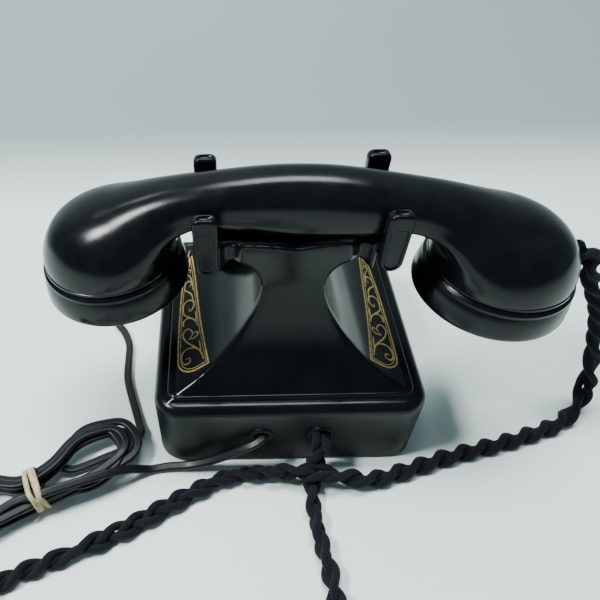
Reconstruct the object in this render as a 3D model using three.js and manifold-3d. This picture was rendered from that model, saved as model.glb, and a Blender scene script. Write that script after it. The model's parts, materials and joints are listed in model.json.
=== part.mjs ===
// French-style cradle telephone: a square enamelled metal case with a pinched neck, a
// four-pronged cradle, a rotary dial on the front slope, a handset with screw-on end caps,
// a plaited cloth handset cord and a flat line cord tied in a hank.
//
// Millimetres, +Z up. -Y is the front, where the dial is, and +Y the rear, where both cords
// leave the case. The receiver end of the handset lies at +X and the transmitter end at -X.
import * as THREE from "three";
import { mergeVertices } from "three/addons/utils/BufferGeometryUtils.js";
import Module from "manifold-3d";

const wasm = await Module();
wasm.setup();

// ---------- driving dimensions ----------
const GAP = 0.3; // clearance between pieces that touch
const CASE_X = 4.5; // the case's middle, measured from the handset's middle
const BASE_W = 132; // case skirt, along X
const BASE_D = 126.2; // case skirt, along Y
const CORNER_R = 13; // skirt corners, in plan
const WALL = 2.9;
const SKIRT_FOOT = 1.2; // the skirt's lower edge above the table
const SKIRT_TOP = 45.8;
const SKIRT_ROUND = 5.4; // rounding of the skirt's upper edge
const PLINTH_TOP = 47.9; // low step that the neck grows from
const PLINTH_INSET = 6.9;
const CRADLE_Y = 16.5; // middle of the cradle, towards the rear
const YOKE_END = 32.1; // the yoke's half length
const YOKE_TOP = 120.8;
const YOKE_DIP = 1.2; // how much lower the yoke is at its middle
const NECK_BACK = 33; // rear face of the yoke
const ARM_START = 22.8; // beyond this the yoke thins to an arm
const ARM_BLEND = 6.4; // length of the thinning, along X
const ARM_BACK = 27.5;
const TROUGH_Z = 118; // bottom of the groove that the handle lies over
const TROUGH_HALF = 14.4;
const FORK_W = 10; // a fork, along X
const FORK_FOOT = 112.5;
const FORK_TOP = 141.3;
const PAD_TOP = 120.8; // saddle of a fork, under the handle
const PRONG_IN = 18.2; // inner face of a prong, from the cradle's middle
const PRONG_OUT = 23.9;
const PLUNGER_Y = 21.5;
const PLUNGER_R = 5;
const WELL_R = 8.2; // recess around the plunger
const PLATE_Z = 4; // underside of the base plate
const PLATE_T = 1.8;
const FOOT_R = 8;
const SCREW_X = 54;
const SCREW_Y = 51;
const SCREW_R = 1.8;
const SCREW_HEAD_R = 4;
const BOSS_R = 4.5;
const FOOT_X = 42;
const FOOT_Y = 45;
const CORD_HOLE_Z = 25.6;
const LINE_HOLE_X = 13.4;
const ROPE_HOLE_X = -15.4;

const DIAL_Y = -27.5; // where the dial's axis meets the front slope
const DIAL_Z = 75;
const DIAL_TILT = Math.PI / 4;
const DRUM_R = 39.5;
const DRUM_RIM = 6;
const DRUM_BACK = -12;
const POCKET_R = 37.3;
const WHEEL_R = 34.3;
const WHEEL_TOP = 8.2;
const SHAFT_R = 2.9;
const HOLE_COUNT = 10;
const HOLE_PITCH = Math.PI / 6;
const HOLE_START = THREE.MathUtils.degToRad(35);
const STOP_ANGLE = THREE.MathUtils.degToRad(-35);
const HOLE_R = 5.8;
const HOLE_CENTRE_R = 26.6;
const GOVERNOR_R = 1.5; // shaft of the governor
const GEAR_MODULE = 1;
const GEAR_TEETH = 36;
const PINION_TEETH = 9;
const GEAR_SLACK = 0.45; // extra centre distance that gives the mesh its backlash

const HANDSET_YAW = THREE.MathUtils.degToRad(-4.5); // the handset lies a little askew
const CAP_X = 86.7; // a cap's middle, from the handset's middle
const SEAM_Z = 101.8; // seam between a cap and the shell
const CAP_TILT = THREE.MathUtils.degToRad(3.5); // the caps face slightly inwards
const CAP_T = 16.8;
const SEAM_R = 31;
const NECK_R = 27.6; // threaded neck that a cap screws onto

const ROPE_D = 6.2; // plaited handset cord, its thickness lying flat
const ROPE_LIFT = 3.2; // its centre line above the table
const LINE_D = 2.8; // line cord, as thick as the flat cord is

// ---------- materials ----------
const finish = (color, roughness, metalness) =>
  new THREE.MeshStandardMaterial({ color, roughness, metalness });
const ENAMEL = finish(0x0b0c0f, 0.12, 0.0);
const BAKELITE = finish(0x0d0e10, 0.2, 0.0);
const STEEL = finish(0x9a9c9f, 0.35, 1.0);
const NICKEL = finish(0xb9b6ae, 0.25, 1.0);
const BRASS = finish(0xa8813a, 0.3, 1.0);
const RUBBER = finish(0x191919, 0.8, 0.0);
const PLATE_WHITE = finish(0xe6e0d0, 0.3, 0.0);
const COPPER_COIL = finish(0x5a2418, 0.5, 0.0);
const FIBRE = finish(0x6b4a2a, 0.7, 0.0);
const COTTON = finish(0x10121a, 0.9, 0.0);
const PVC = finish(0x0c0c0d, 0.35, 0.0);
const RAFFIA = finish(0xc4ab7c, 0.8, 0.0);

// ---------- geometry helpers ----------
const vec = (x, y) => new THREE.Vector2(x, y);

// Merges shared vertices and drops the slivers that merging leaves at a pole.
function weld(geometry) {
  const bare = geometry.clone();
  bare.deleteAttribute("normal");
  bare.deleteAttribute("uv");
  const merged = mergeVertices(bare, 1e-4);
  const kept = [];
  const index = merged.index.array;
  for (let i = 0; i < index.length; i += 3) {
    const [a, b, c] = [index[i], index[i + 1], index[i + 2]];
    if (a !== b && b !== c && a !== c) kept.push(a, b, c);
  }
  merged.setIndex(kept);
  return merged;
}

function solid(geometry) {
  const welded = weld(geometry);
  return new wasm.Manifold(
    new wasm.Mesh({
      numProp: 3,
      vertProperties: Float32Array.from(welded.attributes.position.array),
      triVerts: Uint32Array.from(welded.index.array),
    })
  );
}

function geometryOf(manifold) {
  const mesh = manifold.getMesh();
  const geometry = new THREE.BufferGeometry();
  geometry.setAttribute("position", new THREE.BufferAttribute(Float32Array.from(mesh.vertProperties), 3));
  geometry.setIndex(new THREE.BufferAttribute(Uint32Array.from(mesh.triVerts), 1));
  return geometry;
}

// Solid of revolution about Z from [radius, height] points, listed upwards on the outside.
function turned(points, segments = 24) {
  const lathe = new THREE.LatheGeometry(points.map(([r, z]) => vec(r, z)), segments);
  return lathe.rotateX(Math.PI / 2);
}

const rod = (radius, low, high, segments = 12) =>
  turned([[0, low], [radius, low], [radius, high], [0, high]], segments);

const washer = (inner, outer, low, high, segments = 24) =>
  turned([[inner, low], [outer, low], [outer, high], [inner, high], [inner, low]], segments);

const box = (w, d, h, x = 0, y = 0, z = 0) => new THREE.BoxGeometry(w, d, h).translate(x, y, z);

// Prism of an outline in the XY plane, between two heights.
function prism(points, low, high, holes = []) {
  const shape = new THREE.Shape(points.map(([x, y]) => vec(x, y)));
  shape.holes = holes.map((ring) => new THREE.Path(ring.map(([x, y]) => vec(x, y))));
  const depth = high - low;
  return new THREE.ExtrudeGeometry(shape, { depth, bevelEnabled: false }).translate(0, 0, low);
}

// Prism of an outline in the XZ plane, between two values of Y.
function prismAlongY(points, low, high) {
  return prism(points, -high, -low).rotateX(Math.PI / 2);
}

// Prism of an outline in the YZ plane, between two values of X.
function prismAlongX(points, low, high) {
  const turn = new THREE.Matrix4().set(0, 0, 1, 0, 1, 0, 0, 0, 0, 1, 0, 0, 0, 0, 0, 1);
  return prism(points, low, high).applyMatrix4(turn);
}

// Closed skin over a row of rings with equal point counts, each counter-clockwise about the
// direction in which the row runs.
function loft(rings) {
  const n = rings[0].length;
  const position = rings.flat(2);
  const index = [];
  for (let i = 0; i + 1 < rings.length; i++) {
    for (let j = 0; j < n; j++) {
      const k = (j + 1) % n;
      const [a, b, c, d] = [i * n + j, i * n + k, (i + 1) * n + k, (i + 1) * n + j];
      index.push(a, b, c, a, c, d);
    }
  }
  const last = (rings.length - 1) * n;
  for (let j = 1; j + 1 < n; j++) {
    index.push(0, j + 1, j);
    index.push(last, last + j, last + j + 1);
  }
  const geometry = new THREE.BufferGeometry();
  geometry.setAttribute("position", new THREE.Float32BufferAttribute(position, 3));
  geometry.setIndex(index);
  return geometry;
}

function roundedRing(width, depth, radius, z, perCorner = 5) {
  const ring = [];
  const corners = [[1, 1], [-1, 1], [-1, -1], [1, -1]];
  corners.forEach(([sx, sy], quarter) => {
    for (let i = 0; i <= perCorner; i++) {
      const angle = (quarter + i / perCorner) * (Math.PI / 2);
      const x = sx * (width / 2 - radius) + radius * Math.cos(angle);
      const y = sy * (depth / 2 - radius) + radius * Math.sin(angle);
      ring.push([x, y, z]);
    }
  });
  return ring;
}

const circle = (radius, x, y, segments) =>
  Array.from({ length: segments }, (_, i) => {
    const angle = (i / segments) * 2 * Math.PI;
    return [x + radius * Math.cos(angle), y + radius * Math.sin(angle)];
  });

const smooth = (points, count) =>
  new THREE.SplineCurve(points.map(([x, y]) => vec(x, y))).getPoints(count).map((p) => [p.x, p.y]);

const mirrored = (points) => [...points, ...points.map(([x, z]) => [-x, z]).reverse()];

const phone = new THREE.Group();
const caseGroup = new THREE.Group();
caseGroup.position.x = CASE_X;
phone.add(caseGroup);

function piece(name, geometry, material, parent = caseGroup) {
  const mesh = new THREE.Mesh(geometry, material);
  mesh.name = name;
  parent.add(mesh);
  return mesh;
}

// ---------- case ----------
const drumFrame = new THREE.Matrix4()
  .makeTranslation(0, DIAL_Y, DIAL_Z)
  .multiply(new THREE.Matrix4().makeRotationX(DIAL_TILT));
const onDial = (geometry) => geometry.applyMatrix4(drumFrame);

// Skirt with a rounded upper edge, a flat ledge and the low plinth.
function skirtSolid() {
  const rings = [roundedRing(BASE_W, BASE_D, CORNER_R, SKIRT_FOOT)];
  const steps = 4;
  for (let i = 0; i <= steps; i++) {
    const angle = (i / steps) * (Math.PI / 2);
    const inset = SKIRT_ROUND * (1 - Math.cos(angle));
    const z = SKIRT_TOP - SKIRT_ROUND * (1 - Math.sin(angle));
    rings.push(roundedRing(BASE_W - 2 * inset, BASE_D - 2 * inset, CORNER_R - inset, z));
  }
  const plinth = [
    [PLINTH_INSET, SKIRT_TOP], [PLINTH_INSET, SKIRT_TOP + 1.2], [PLINTH_INSET + 1, PLINTH_TOP],
  ];
  for (const [inset, z] of plinth) {
    rings.push(roundedRing(BASE_W - 2 * inset, BASE_D - 2 * inset, CORNER_R - inset, z));
  }
  return solid(loft(rings));
}

// Hourglass outline seen from the rear: half width against height.
const SIDE_SCOOP = [
  [55.2, PLINTH_TOP], [46, 52.5], [37, 58.6], [30.5, 65], [25, 71.5], [20.4, 78.5], [17, 85],
  [15, 91], [14.2, 96.5], [14.8, 101], [17, 105.6], [20.4, 109.2], [24.4, 110.9], [28.2, 110.2],
  [YOKE_END, 107.8],
];
const YOKE_HUMPS = [
  [YOKE_END, 120.6], [24, 122.1], [16.5, 122.2], [8, YOKE_TOP + 0.3],
  [0, YOKE_TOP - YOKE_DIP],
];
// Rear outline seen from the side: distance back against height.
const REAR_FACE = [
  [54.6, PLINTH_TOP], [50, 52.6], [45.4, 58.6], [40.4, 67.5], [36.2, 78], [33, 90], [31.6, 100], [32, 110],
];
const FRONT_SLOPE_Z = DIAL_Z - DIAL_Y; // height at which the front slope reaches Y = 0
const SUNK_Z = SKIRT_TOP - 4; // the neck's foot, inside the skirt

function neckSolid() {
  const side = mirrored([[SIDE_SCOOP[0][0], SUNK_Z], ...smooth(SIDE_SCOOP, 22), ...smooth(YOKE_HUMPS, 8)]);
  const profile = [
    [REAR_FACE[0][0], SUNK_Z], ...smooth(REAR_FACE, 12), [NECK_BACK, 118], [NECK_BACK, 130],
    [0, 130], [0, FRONT_SLOPE_Z], [PLINTH_TOP - FRONT_SLOPE_Z, PLINTH_TOP],
    [PLINTH_TOP - FRONT_SLOPE_Z, SUNK_Z],
  ];
  return solid(prismAlongY(side, -80, 80)).intersect(solid(prismAlongX(profile, -80, 80)));
}

function cavitySolid() {
  const room = loft([0, SKIRT_TOP - WALL].map((z) =>
    roundedRing(BASE_W - 2 * WALL, BASE_D - 2 * WALL, CORNER_R - WALL, z, 3)));
  const side = mirrored([[50, 40], [50, 46], [33.5, 57], [21.6, 70], [13.4, 84.5], [11, 96], [11, 109]]);
  const slope = FRONT_SLOPE_Z - WALL * Math.SQRT2;
  const profile = [
    [50.6, 40], [50.6, 46.5], [42, 57.4], [33, 77.5], [28.6, 99], [28.6, 109],
    [WALL, 109], [WALL, slope + WALL], [-50, slope - 50], [-50, 40],
  ];
  const neck = solid(prismAlongY(side, -80, 80)).intersect(solid(prismAlongX(profile, -80, 80)));
  return solid(room).add(neck);
}

// Takes the corner off the yoke in plan, through a soft S, so that an arm is left.
function armCut(sx, sy) {
  const outline = [];
  const steps = 6;
  for (let i = 0; i <= steps; i++) {
    const t = i / steps;
    const inset = (NECK_BACK - ARM_BACK) * t * t * (3 - 2 * t);
    outline.push([sx * (ARM_START + ARM_BLEND * t), CRADLE_Y + sy * (NECK_BACK - CRADLE_Y - inset)]);
  }
  const far = sx * (YOKE_END + 8);
  const clear = CRADLE_Y + sy * 40;
  outline.push([far, CRADLE_Y + sy * (ARM_BACK - CRADLE_Y)], [far, clear], [sx * ARM_START, clear]);
  return prism(outline, 100, 140);
}

function housing() {
  const drum = solid(onDial(rod(DRUM_R, DRUM_BACK, DRUM_RIM, 40)));
  const troughEdge = [
    [TROUGH_HALF + 1, 126], [TROUGH_HALF, 121.6], [12.4, 119.8], [8, 118.5], [0, TROUGH_Z],
  ];
  const trough = mirrored(troughEdge).map(([y, z]) => [y + CRADLE_Y, z]);
  let shell = skirtSolid().add(neckSolid()).add(drum);
  shell = shell.subtract(cavitySolid().subtract(drum));
  const cuts = [
    prismAlongX(trough, -60, 60),
    onDial(rod(POCKET_R, DRUM_BACK + WALL, DRUM_RIM + 5, 40)),
    onDial(rod(4, DRUM_BACK - 5, 0, 10)),
    rod(WELL_R, 113.5, 130, 16).translate(0, PLUNGER_Y, 0),
    rod(3, 100, 130, 12).translate(0, PLUNGER_Y, 0),
    rod(4.5, 40, 80, 14).rotateX(-Math.PI / 2).translate(LINE_HOLE_X, 0, CORD_HOLE_Z),
    rod(5.4, 40, 80, 16).rotateX(-Math.PI / 2).translate(ROPE_HOLE_X, 0, CORD_HOLE_Z),
  ];
  for (const sx of [-1, 1]) {
    for (const sy of [-1, 1]) cuts.push(armCut(sx, sy));
  }
  for (const cut of cuts) shell = shell.subtract(solid(cut));
  for (const sx of [-1, 1]) {
    for (const sy of [-1, 1]) {
      const boss = solid(rod(BOSS_R, PLATE_Z + PLATE_T + GAP, SKIRT_TOP - 1.5, 10));
      const bored = boss.subtract(solid(rod(SCREW_R + GAP, 0, 20, 8)));
      shell = shell.add(bored.translate([sx * SCREW_X, sy * SCREW_Y, 0]));
    }
  }
  return geometryOf(shell);
}
piece("housing", housing(), ENAMEL);

function basePlate() {
  const outline = roundedRing(BASE_W - 2 * WALL - 0.8, BASE_D - 2 * WALL - 0.8, CORNER_R - WALL, 0, 3);
  const corners = [[1, 1], [1, -1], [-1, 1], [-1, -1]];
  const holes = corners.map(([sx, sy]) => circle(SCREW_R + 0.5, sx * SCREW_X, sy * SCREW_Y, 8));
  return prism(outline, PLATE_Z, PLATE_Z + PLATE_T, holes);
}
piece("base_plate", basePlate(), STEEL);

["rear_left", "rear_right", "front_left", "front_right"].forEach((corner) => {
  const sx = corner.endsWith("left") ? 1 : -1;
  const sy = corner.startsWith("rear") ? 1 : -1;
  const foot = piece(`foot_${corner}`, rod(FOOT_R, 0, PLATE_Z - GAP, 14), RUBBER);
  foot.position.set(sx * FOOT_X, sy * FOOT_Y, 0);
  const head = [
    [0, PLATE_Z - 1.7], [SCREW_HEAD_R, PLATE_Z - 1.7], [SCREW_HEAD_R, PLATE_Z - GAP],
    [SCREW_R, PLATE_Z - GAP], [SCREW_R, 16], [0, 16],
  ];
  const screw = piece(`base_screw_${corner}`, turned(head, 10), NICKEL);
  screw.position.set(sx * SCREW_X, sy * SCREW_Y, 0);
});

// ---------- cradle ----------
// U-shaped fork whose two prongs hold the handle, seen from the side, cut by the tongue
// outline seen from the rear. The tongue widens upwards on its outer side, at +X.
function fork() {
  const half = [
    [0, FORK_FOOT], [PRONG_OUT - 6, FORK_FOOT], [PRONG_OUT - 1.8, FORK_FOOT + 1.8],
    [PRONG_OUT, FORK_FOOT + 6],
    [PRONG_OUT, FORK_TOP - 2.4], [PRONG_OUT - 1.3, FORK_TOP], [PRONG_IN + 1.3, FORK_TOP],
    [PRONG_IN, FORK_TOP - 2.4], [PRONG_IN, PAD_TOP + 4.6], [PRONG_IN - 1.8, PAD_TOP + 1.1],
    [12, PAD_TOP], [0, PAD_TOP],
  ];
  const side = mirrored(half.slice(1, -1));
  const w = FORK_W / 2;
  const round = w - 0.9;
  const tongue = [];
  for (let i = 0; i <= 8; i++) {
    const angle = Math.PI + (i / 8) * Math.PI;
    tongue.push([-0.9 + round * Math.cos(angle), FORK_FOOT + round + round * Math.sin(angle)]);
  }
  tongue.push([w + 0.2, FORK_TOP - 3.2], [w - 0.8, FORK_TOP - 0.9], [w - 3, FORK_TOP]);
  tongue.push([3.2 - w, FORK_TOP], [1 - w, FORK_TOP - 0.9], [-w, FORK_TOP - 3.2]);
  return geometryOf(solid(prismAlongX(side, -10, 10)).intersect(solid(prismAlongY(tongue, -40, 40))));
}
for (const [name, sx] of [["cradle_fork_left", 1], ["cradle_fork_right", -1]]) {
  const mesh = piece(name, fork(), ENAMEL);
  mesh.position.set(sx * (YOKE_END + GAP + FORK_W / 2), CRADLE_Y, 0);
  mesh.rotation.z = sx > 0 ? 0 : Math.PI;
}

// ---------- hook switch ----------
const LEVER_Z = 86; // top of the lever
const PIVOT_Y = 6;
const plungerShape = [
  [0, LEVER_Z + GAP], [2.5, LEVER_Z + GAP], [2.5, 115.4], [PLUNGER_R, 115.4],
  [PLUNGER_R, 117.6], [PLUNGER_R - 1.6, 118.9], [0, 119.1],
];
piece("plunger", turned(plungerShape, 16), BAKELITE).position.set(0, PLUNGER_Y, 0);

function hookLever() {
  const bar = solid(box(8, 24, 1.8, 0, 15.2, LEVER_Z - 0.9));
  const eye = solid(rod(3, -4, 4, 12).rotateY(Math.PI / 2).translate(0, PIVOT_Y, LEVER_Z - 2));
  const bore = solid(rod(1.6, -6, 6, 10).rotateY(Math.PI / 2).translate(0, PIVOT_Y, LEVER_Z - 2));
  return geometryOf(bar.add(eye).subtract(bore));
}
piece("hook_lever", hookLever(), BRASS);
piece("lever_pin", rod(1.3, -8, 8, 10).rotateY(Math.PI / 2).translate(0, PIVOT_Y, LEVER_Z - 2), STEEL);

function hookBracket() {
  const foot = PLATE_Z + PLATE_T + GAP;
  const plate = solid(box(20, 2, 80 - foot, 0, 28, (80 + foot) / 2));
  const ears = [-1, 1].map((sx) => solid(box(1.6, 26, 11.5, sx * 7, 15.2, 80.5)));
  const bore = solid(rod(1.6, -12, 12, 10).rotateY(Math.PI / 2).translate(0, PIVOT_Y, LEVER_Z - 2));
  return geometryOf(plate.add(ears[0]).add(ears[1]).subtract(bore));
}
piece("hook_bracket", hookBracket(), STEEL);
const pile = [0, 1, 2, 3].map((i) => solid(box(9, 2.2, 20 - 2 * i, 0, 25.4 - i * 2, 62)));
piece("contact_pile", geometryOf(pile.reduce((all, leaf) => all.add(leaf))), FIBRE);

// ---------- ringer and the parts on the base plate ----------
const DECK = PLATE_Z + PLATE_T + GAP;
piece("ringer_bracket", box(52, 32, 2, 0, 8.6, DECK + 1), STEEL);
const RINGER_Z = 21;
const COIL_R = 8.6;
for (const [name, sx] of [["ringer_coil_left", 1], ["ringer_coil_right", -1]]) {
  const bobbin = [
    [0, 0], [COIL_R + 1, 0], [COIL_R + 1, 1.5], [COIL_R, 1.5],
    [COIL_R, 22.5], [COIL_R + 1, 22.5], [COIL_R + 1, 24], [0, 24],
  ];
  piece(name, turned(bobbin, 16).rotateX(-Math.PI / 2), COPPER_COIL).position.set(sx * 12, -3, RINGER_Z);
}
piece("ringer_yoke", box(44, 3, 24, 0, 22.9, 20.5), STEEL);
const GONG_X = 26;
const GONG_Y = -34;
const GONG_Z = 13;
const POST_R = 2;
const gongCup = [
  [0, 15], [16, 14.2], [19.8, 9], [21, 0], [22.2, 0], [21, 9.6], [16.8, 15.6], [0, 16.4],
];
for (const [name, sx] of [["left", 1], ["right", -1]]) {
  const cup = turned(gongCup, 20);
  const bored = solid(cup).subtract(solid(rod(POST_R + 0.4, 5, 25, 8)));
  piece(`gong_${name}`, geometryOf(bored), NICKEL).position.set(sx * GONG_X, GONG_Y, GONG_Z);
  const post = [[0, DECK], [4, DECK], [4, DECK + 3], [POST_R, DECK + 3], [POST_R, 30], [0, 30]];
  piece(`gong_post_${name}`, turned(post, 10), STEEL).position.set(sx * GONG_X, GONG_Y, 0);
}
const CLAPPER_Y = -9; // the armature, which the clapper's stem hangs from
function clapper() {
  const armature = solid(box(34, 2, 9, 0, CLAPPER_Y, RINGER_Z));
  const stem = solid(rod(0.9, 0, 25, 8).rotateX(Math.PI / 2).translate(0, CLAPPER_Y, RINGER_Z));
  const ball = solid(new THREE.SphereGeometry(2.4, 12, 8).translate(0, CLAPPER_Y - 26, RINGER_Z));
  return geometryOf(armature.add(stem).add(ball));
}
piece("clapper", clapper(), BRASS);
piece("induction_coil", box(22, 18, 22, -44, 32, DECK + 11), COPPER_COIL);
piece("capacitor", box(30, 16, 24, 41, 34, DECK + 12), STEEL);
function terminalBlock() {
  let block = solid(box(52, 10, 9, 0, 36, DECK + 4.5));
  for (let i = 0; i < 5; i++) {
    const terminal = rod(2, DECK + 8, DECK + 11.5, 8).translate(-20 + i * 10, 36, 0);
    block = block.add(solid(terminal));
  }
  return geometryOf(block);
}
piece("terminal_block", terminalBlock(), BAKELITE);

// Eyelets in the rear wall.
const WALL_OUT = BASE_D / 2;
function eyelet(inner, barrel, flange) {
  const shape = [
    [inner, -WALL - 1], [barrel, -WALL - 1], [barrel, GAP], [flange, GAP],
    [flange, GAP + 0.5], [flange - 0.7, GAP + 1], [inner, GAP + 1], [inner, -WALL - 1],
  ];
  return turned(shape, 16).rotateX(-Math.PI / 2);
}
const lineEyelet = piece("line_cord_eyelet", eyelet(3, 4.2, 5.2), BAKELITE);
lineEyelet.position.set(LINE_HOLE_X, WALL_OUT, CORD_HOLE_Z);
const handsetEyelet = piece("handset_cord_eyelet", eyelet(4.5, 5.1, 6), BAKELITE);
handsetEyelet.position.set(ROPE_HOLE_X, WALL_OUT, CORD_HOLE_Z);

// ---------- dial ----------
const dial = new THREE.Group();
dial.position.set(0, DIAL_Y, DIAL_Z);
dial.rotation.x = DIAL_TILT;
caseGroup.add(dial);
const CASE_FLOOR = DRUM_BACK + WALL + GAP;
const caseCup = [
  [3.6, CASE_FLOOR], [POCKET_R - GAP, CASE_FLOOR], [POCKET_R - GAP, 3.6], [POCKET_R - 1.8, 3.6],
  [POCKET_R - 1.8, CASE_FLOOR + 1.4], [3.6, CASE_FLOOR + 1.4], [3.6, CASE_FLOOR],
];
piece("dial_case", turned(caseCup, 40), STEEL, dial);
piece("number_plate", washer(3.6, POCKET_R - GAP, 3.9, 5.1, 40), PLATE_WHITE, dial);

function fingerWheel() {
  const holes = [circle(SHAFT_R + GAP, 0, 0, 12)];
  for (let i = 0; i < HOLE_COUNT; i++) {
    const angle = HOLE_START + i * HOLE_PITCH;
    holes.push(circle(HOLE_R, HOLE_CENTRE_R * Math.cos(angle), HOLE_CENTRE_R * Math.sin(angle), 14));
  }
  return prism(circle(WHEEL_R, 0, 0, 48), WHEEL_TOP - 1.8, WHEEL_TOP, holes);
}
piece("finger_wheel", fingerWheel(), NICKEL, dial);
piece("dial_shaft", rod(SHAFT_R, CASE_FLOOR + 0.4, WHEEL_TOP, 12), STEEL, dial);
const card = [[0, WHEEL_TOP + GAP], [15, WHEEL_TOP + GAP], [15, 9.3], [13.6, 10], [0, 10]];
piece("centre_card", turned(card, 28), PLATE_WHITE, dial);

function fingerStop() {
  const post = solid(box(2, 8, 6.6, POCKET_R - 1.5, 0, 8.7));
  const arm = solid(box(13, 6, 1.6, POCKET_R - 7, 0, 11.2));
  return geometryOf(post.add(arm)).rotateZ(STOP_ANGLE);
}
piece("finger_stop", fingerStop(), NICKEL, dial);

// Straight-flanked gear with thinned teeth.
function gear(teeth, bore, low, high, phase) {
  const pitchR = (GEAR_MODULE * teeth) / 2;
  const [root, tip] = [pitchR - 1.15, pitchR + 0.75];
  const step = (2 * Math.PI) / teeth;
  const outline = [];
  for (let i = 0; i < teeth; i++) {
    const middle = phase + i * step;
    for (const [at, radius] of [[-0.3, root], [-0.13, tip], [0.13, tip], [0.3, root]]) {
      outline.push([radius * Math.cos(middle + at * step), radius * Math.sin(middle + at * step)]);
    }
  }
  return prism(outline, low, high, [circle(bore, 0, 0, 10)]);
}
// Distance between the shafts of the main gear and the pinion.
const MESH_R = (GEAR_MODULE * (GEAR_TEETH + PINION_TEETH)) / 2 + GEAR_SLACK;
piece("main_gear", gear(GEAR_TEETH, SHAFT_R + GAP, -6.2, -4.2, 0), BRASS, dial);
// The pinion sits towards +X, with a gap between teeth facing the main gear's tooth.
const pinionTeeth = gear(PINION_TEETH, GOVERNOR_R + GAP, -6.4, -4, Math.PI + Math.PI / PINION_TEETH);
piece("governor_pinion", pinionTeeth, STEEL, dial).position.x = MESH_R;
const governorShape = [
  [0, CASE_FLOOR + 1.8], [GOVERNOR_R, CASE_FLOOR + 1.8], [GOVERNOR_R, -2.4], [7, -2.4],
  [7, 0.6], [GOVERNOR_R, 0.6], [GOVERNOR_R, 3.2], [0, 3.2],
];
piece("governor_drum", turned(governorShape, 14), BRASS, dial).position.x = MESH_R;
piece("dial_contacts", box(8, 16, 7, -25, -8, -3), FIBRE, dial);

// ---------- handset ----------
const handset = new THREE.Group();
handset.position.set(0, CRADLE_Y, 0);
handset.rotation.z = HANDSET_YAW;
phone.add(handset);

// Cross-sections from the seam of a cap round the inner fold to the handle's middle. Each
// is [inner x, inner z, outer x, outer z, half width, bend of the inner side].
const SECTIONS = [
  [55.8, 103.7, 117.6, 99.9, SEAM_R, 2], [56.1, 106.2, 117.6, 105.5, 30.9, 2.05],
  [56.2, 109.5, 115.6, 111.8, 30.2, 2.15], [56, 112.8, 111.9, 117.6, 28.6, 2.3],
  [55.2, 115.9, 106.6, 122.2, 26.2, 2.5], [53.8, 118.6, 100.2, 126, 23.4, 2.7],
  [51.9, 120.8, 93, 129, 20.8, 2.9], [49.6, 122.3, 85, 131.5, 18.5, 3.1],
  [47, 123.3, 77, 134.1, 16.6, 3.3], [44.2, 123.8, 68.5, 136.7, 15.2, 3.3],
  [41, 123.9, 60, 139, 14.2, 3.3], [37, 123.6, 50.5, 141.1, 13.6, 3.3],
  [32, 122.4, 41, 142.9, 13.3, 3.3], [26, 121.3, 31, 144.6, 13.4, 3.3],
  [19.5, 120.4, 21.5, 146, 13.6, 3.3], [10, 119.7, 10.5, 147.1, 13.8, 3.3],
];
const MIDDLE = [0, 119.5, 0, 147.4, 13.9, 3.3];

function sectionRing([x0, z0, x1, z1, half, innerBend], mirror, count = 20) {
  const seam = innerBend === 2;
  const waist = seam ? 0.5 : 0.44;
  return Array.from({ length: count }, (_, i) => {
    const angle = (i / count) * 2 * Math.PI;
    const [c, s] = [Math.cos(angle), Math.sin(angle)];
    const bend = seam ? 2 : s > 0 ? 2.15 : innerBend;
    const along = waist + (s > 0 ? 1 - waist : waist) * Math.sign(s) * Math.abs(s) ** (2 / bend);
    const y = half * Math.sign(c) * Math.abs(c) ** (2 / bend);
    return [mirror * (x0 + (x1 - x0) * along), y, z0 + (z1 - z0) * along];
  });
}

const endFrame = (sx) =>
  new THREE.Matrix4()
    .makeTranslation(sx * CAP_X, 0, SEAM_Z)
    .multiply(new THREE.Matrix4().makeRotationY(sx * CAP_TILT));

// The shell is one skin from seam to seam, with a threaded neck and a hollow at each end.
function handsetShell() {
  const rings = [
    ...SECTIONS.map((section) => sectionRing(section, -1)),
    sectionRing(MIDDLE, 1),
    ...SECTIONS.slice().reverse().map((section) => sectionRing(section, 1)),
  ];
  let shell = solid(loft(rings));
  const collar = [[0, -7], [NECK_R, -7], [NECK_R, 0], [SEAM_R + 0.3, 0], [SEAM_R + 0.3, 1.4], [0, 1.4]];
  const hollow = [
    [0, -9], [NECK_R - 2.4, -9], [NECK_R - 2.4, 4], [23.6, 10], [18.5, 17], [10, 21.5], [0, 22.5],
  ];
  for (const sx of [-1, 1]) shell = shell.add(solid(turned(collar, 32).applyMatrix4(endFrame(sx))));
  for (const sx of [-1, 1]) shell = shell.subtract(solid(turned(hollow, 20).applyMatrix4(endFrame(sx))));
  const inlet = solid(rod(4.6, 18, 45, 10).applyMatrix4(glandFrame()));
  return geometryOf(shell.subtract(inlet));
}

// The cord's bush leaves the transmitter dome outwards, a little towards the front.
const GLAND_Z = 5.6;
const GLAND_ANGLE = THREE.MathUtils.degToRad(183);
function glandFrame() {
  const aim = new THREE.Matrix4()
    .makeRotationZ(GLAND_ANGLE)
    .multiply(new THREE.Matrix4().makeRotationY(Math.PI / 2));
  return new THREE.Matrix4().makeTranslation(-CAP_X, 0, SEAM_Z + GLAND_Z).multiply(aim);
}
piece("handset_shell", handsetShell(), BAKELITE, handset);
const bush = [[3.3, 23], [4.3, 23], [4.3, 31.2], [5, 31.2], [4.8, 32.6], [3.3, 32.6], [3.3, 23]];
piece("handset_cord_bush", turned(bush, 12).applyMatrix4(glandFrame()), BAKELITE, handset);

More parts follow.
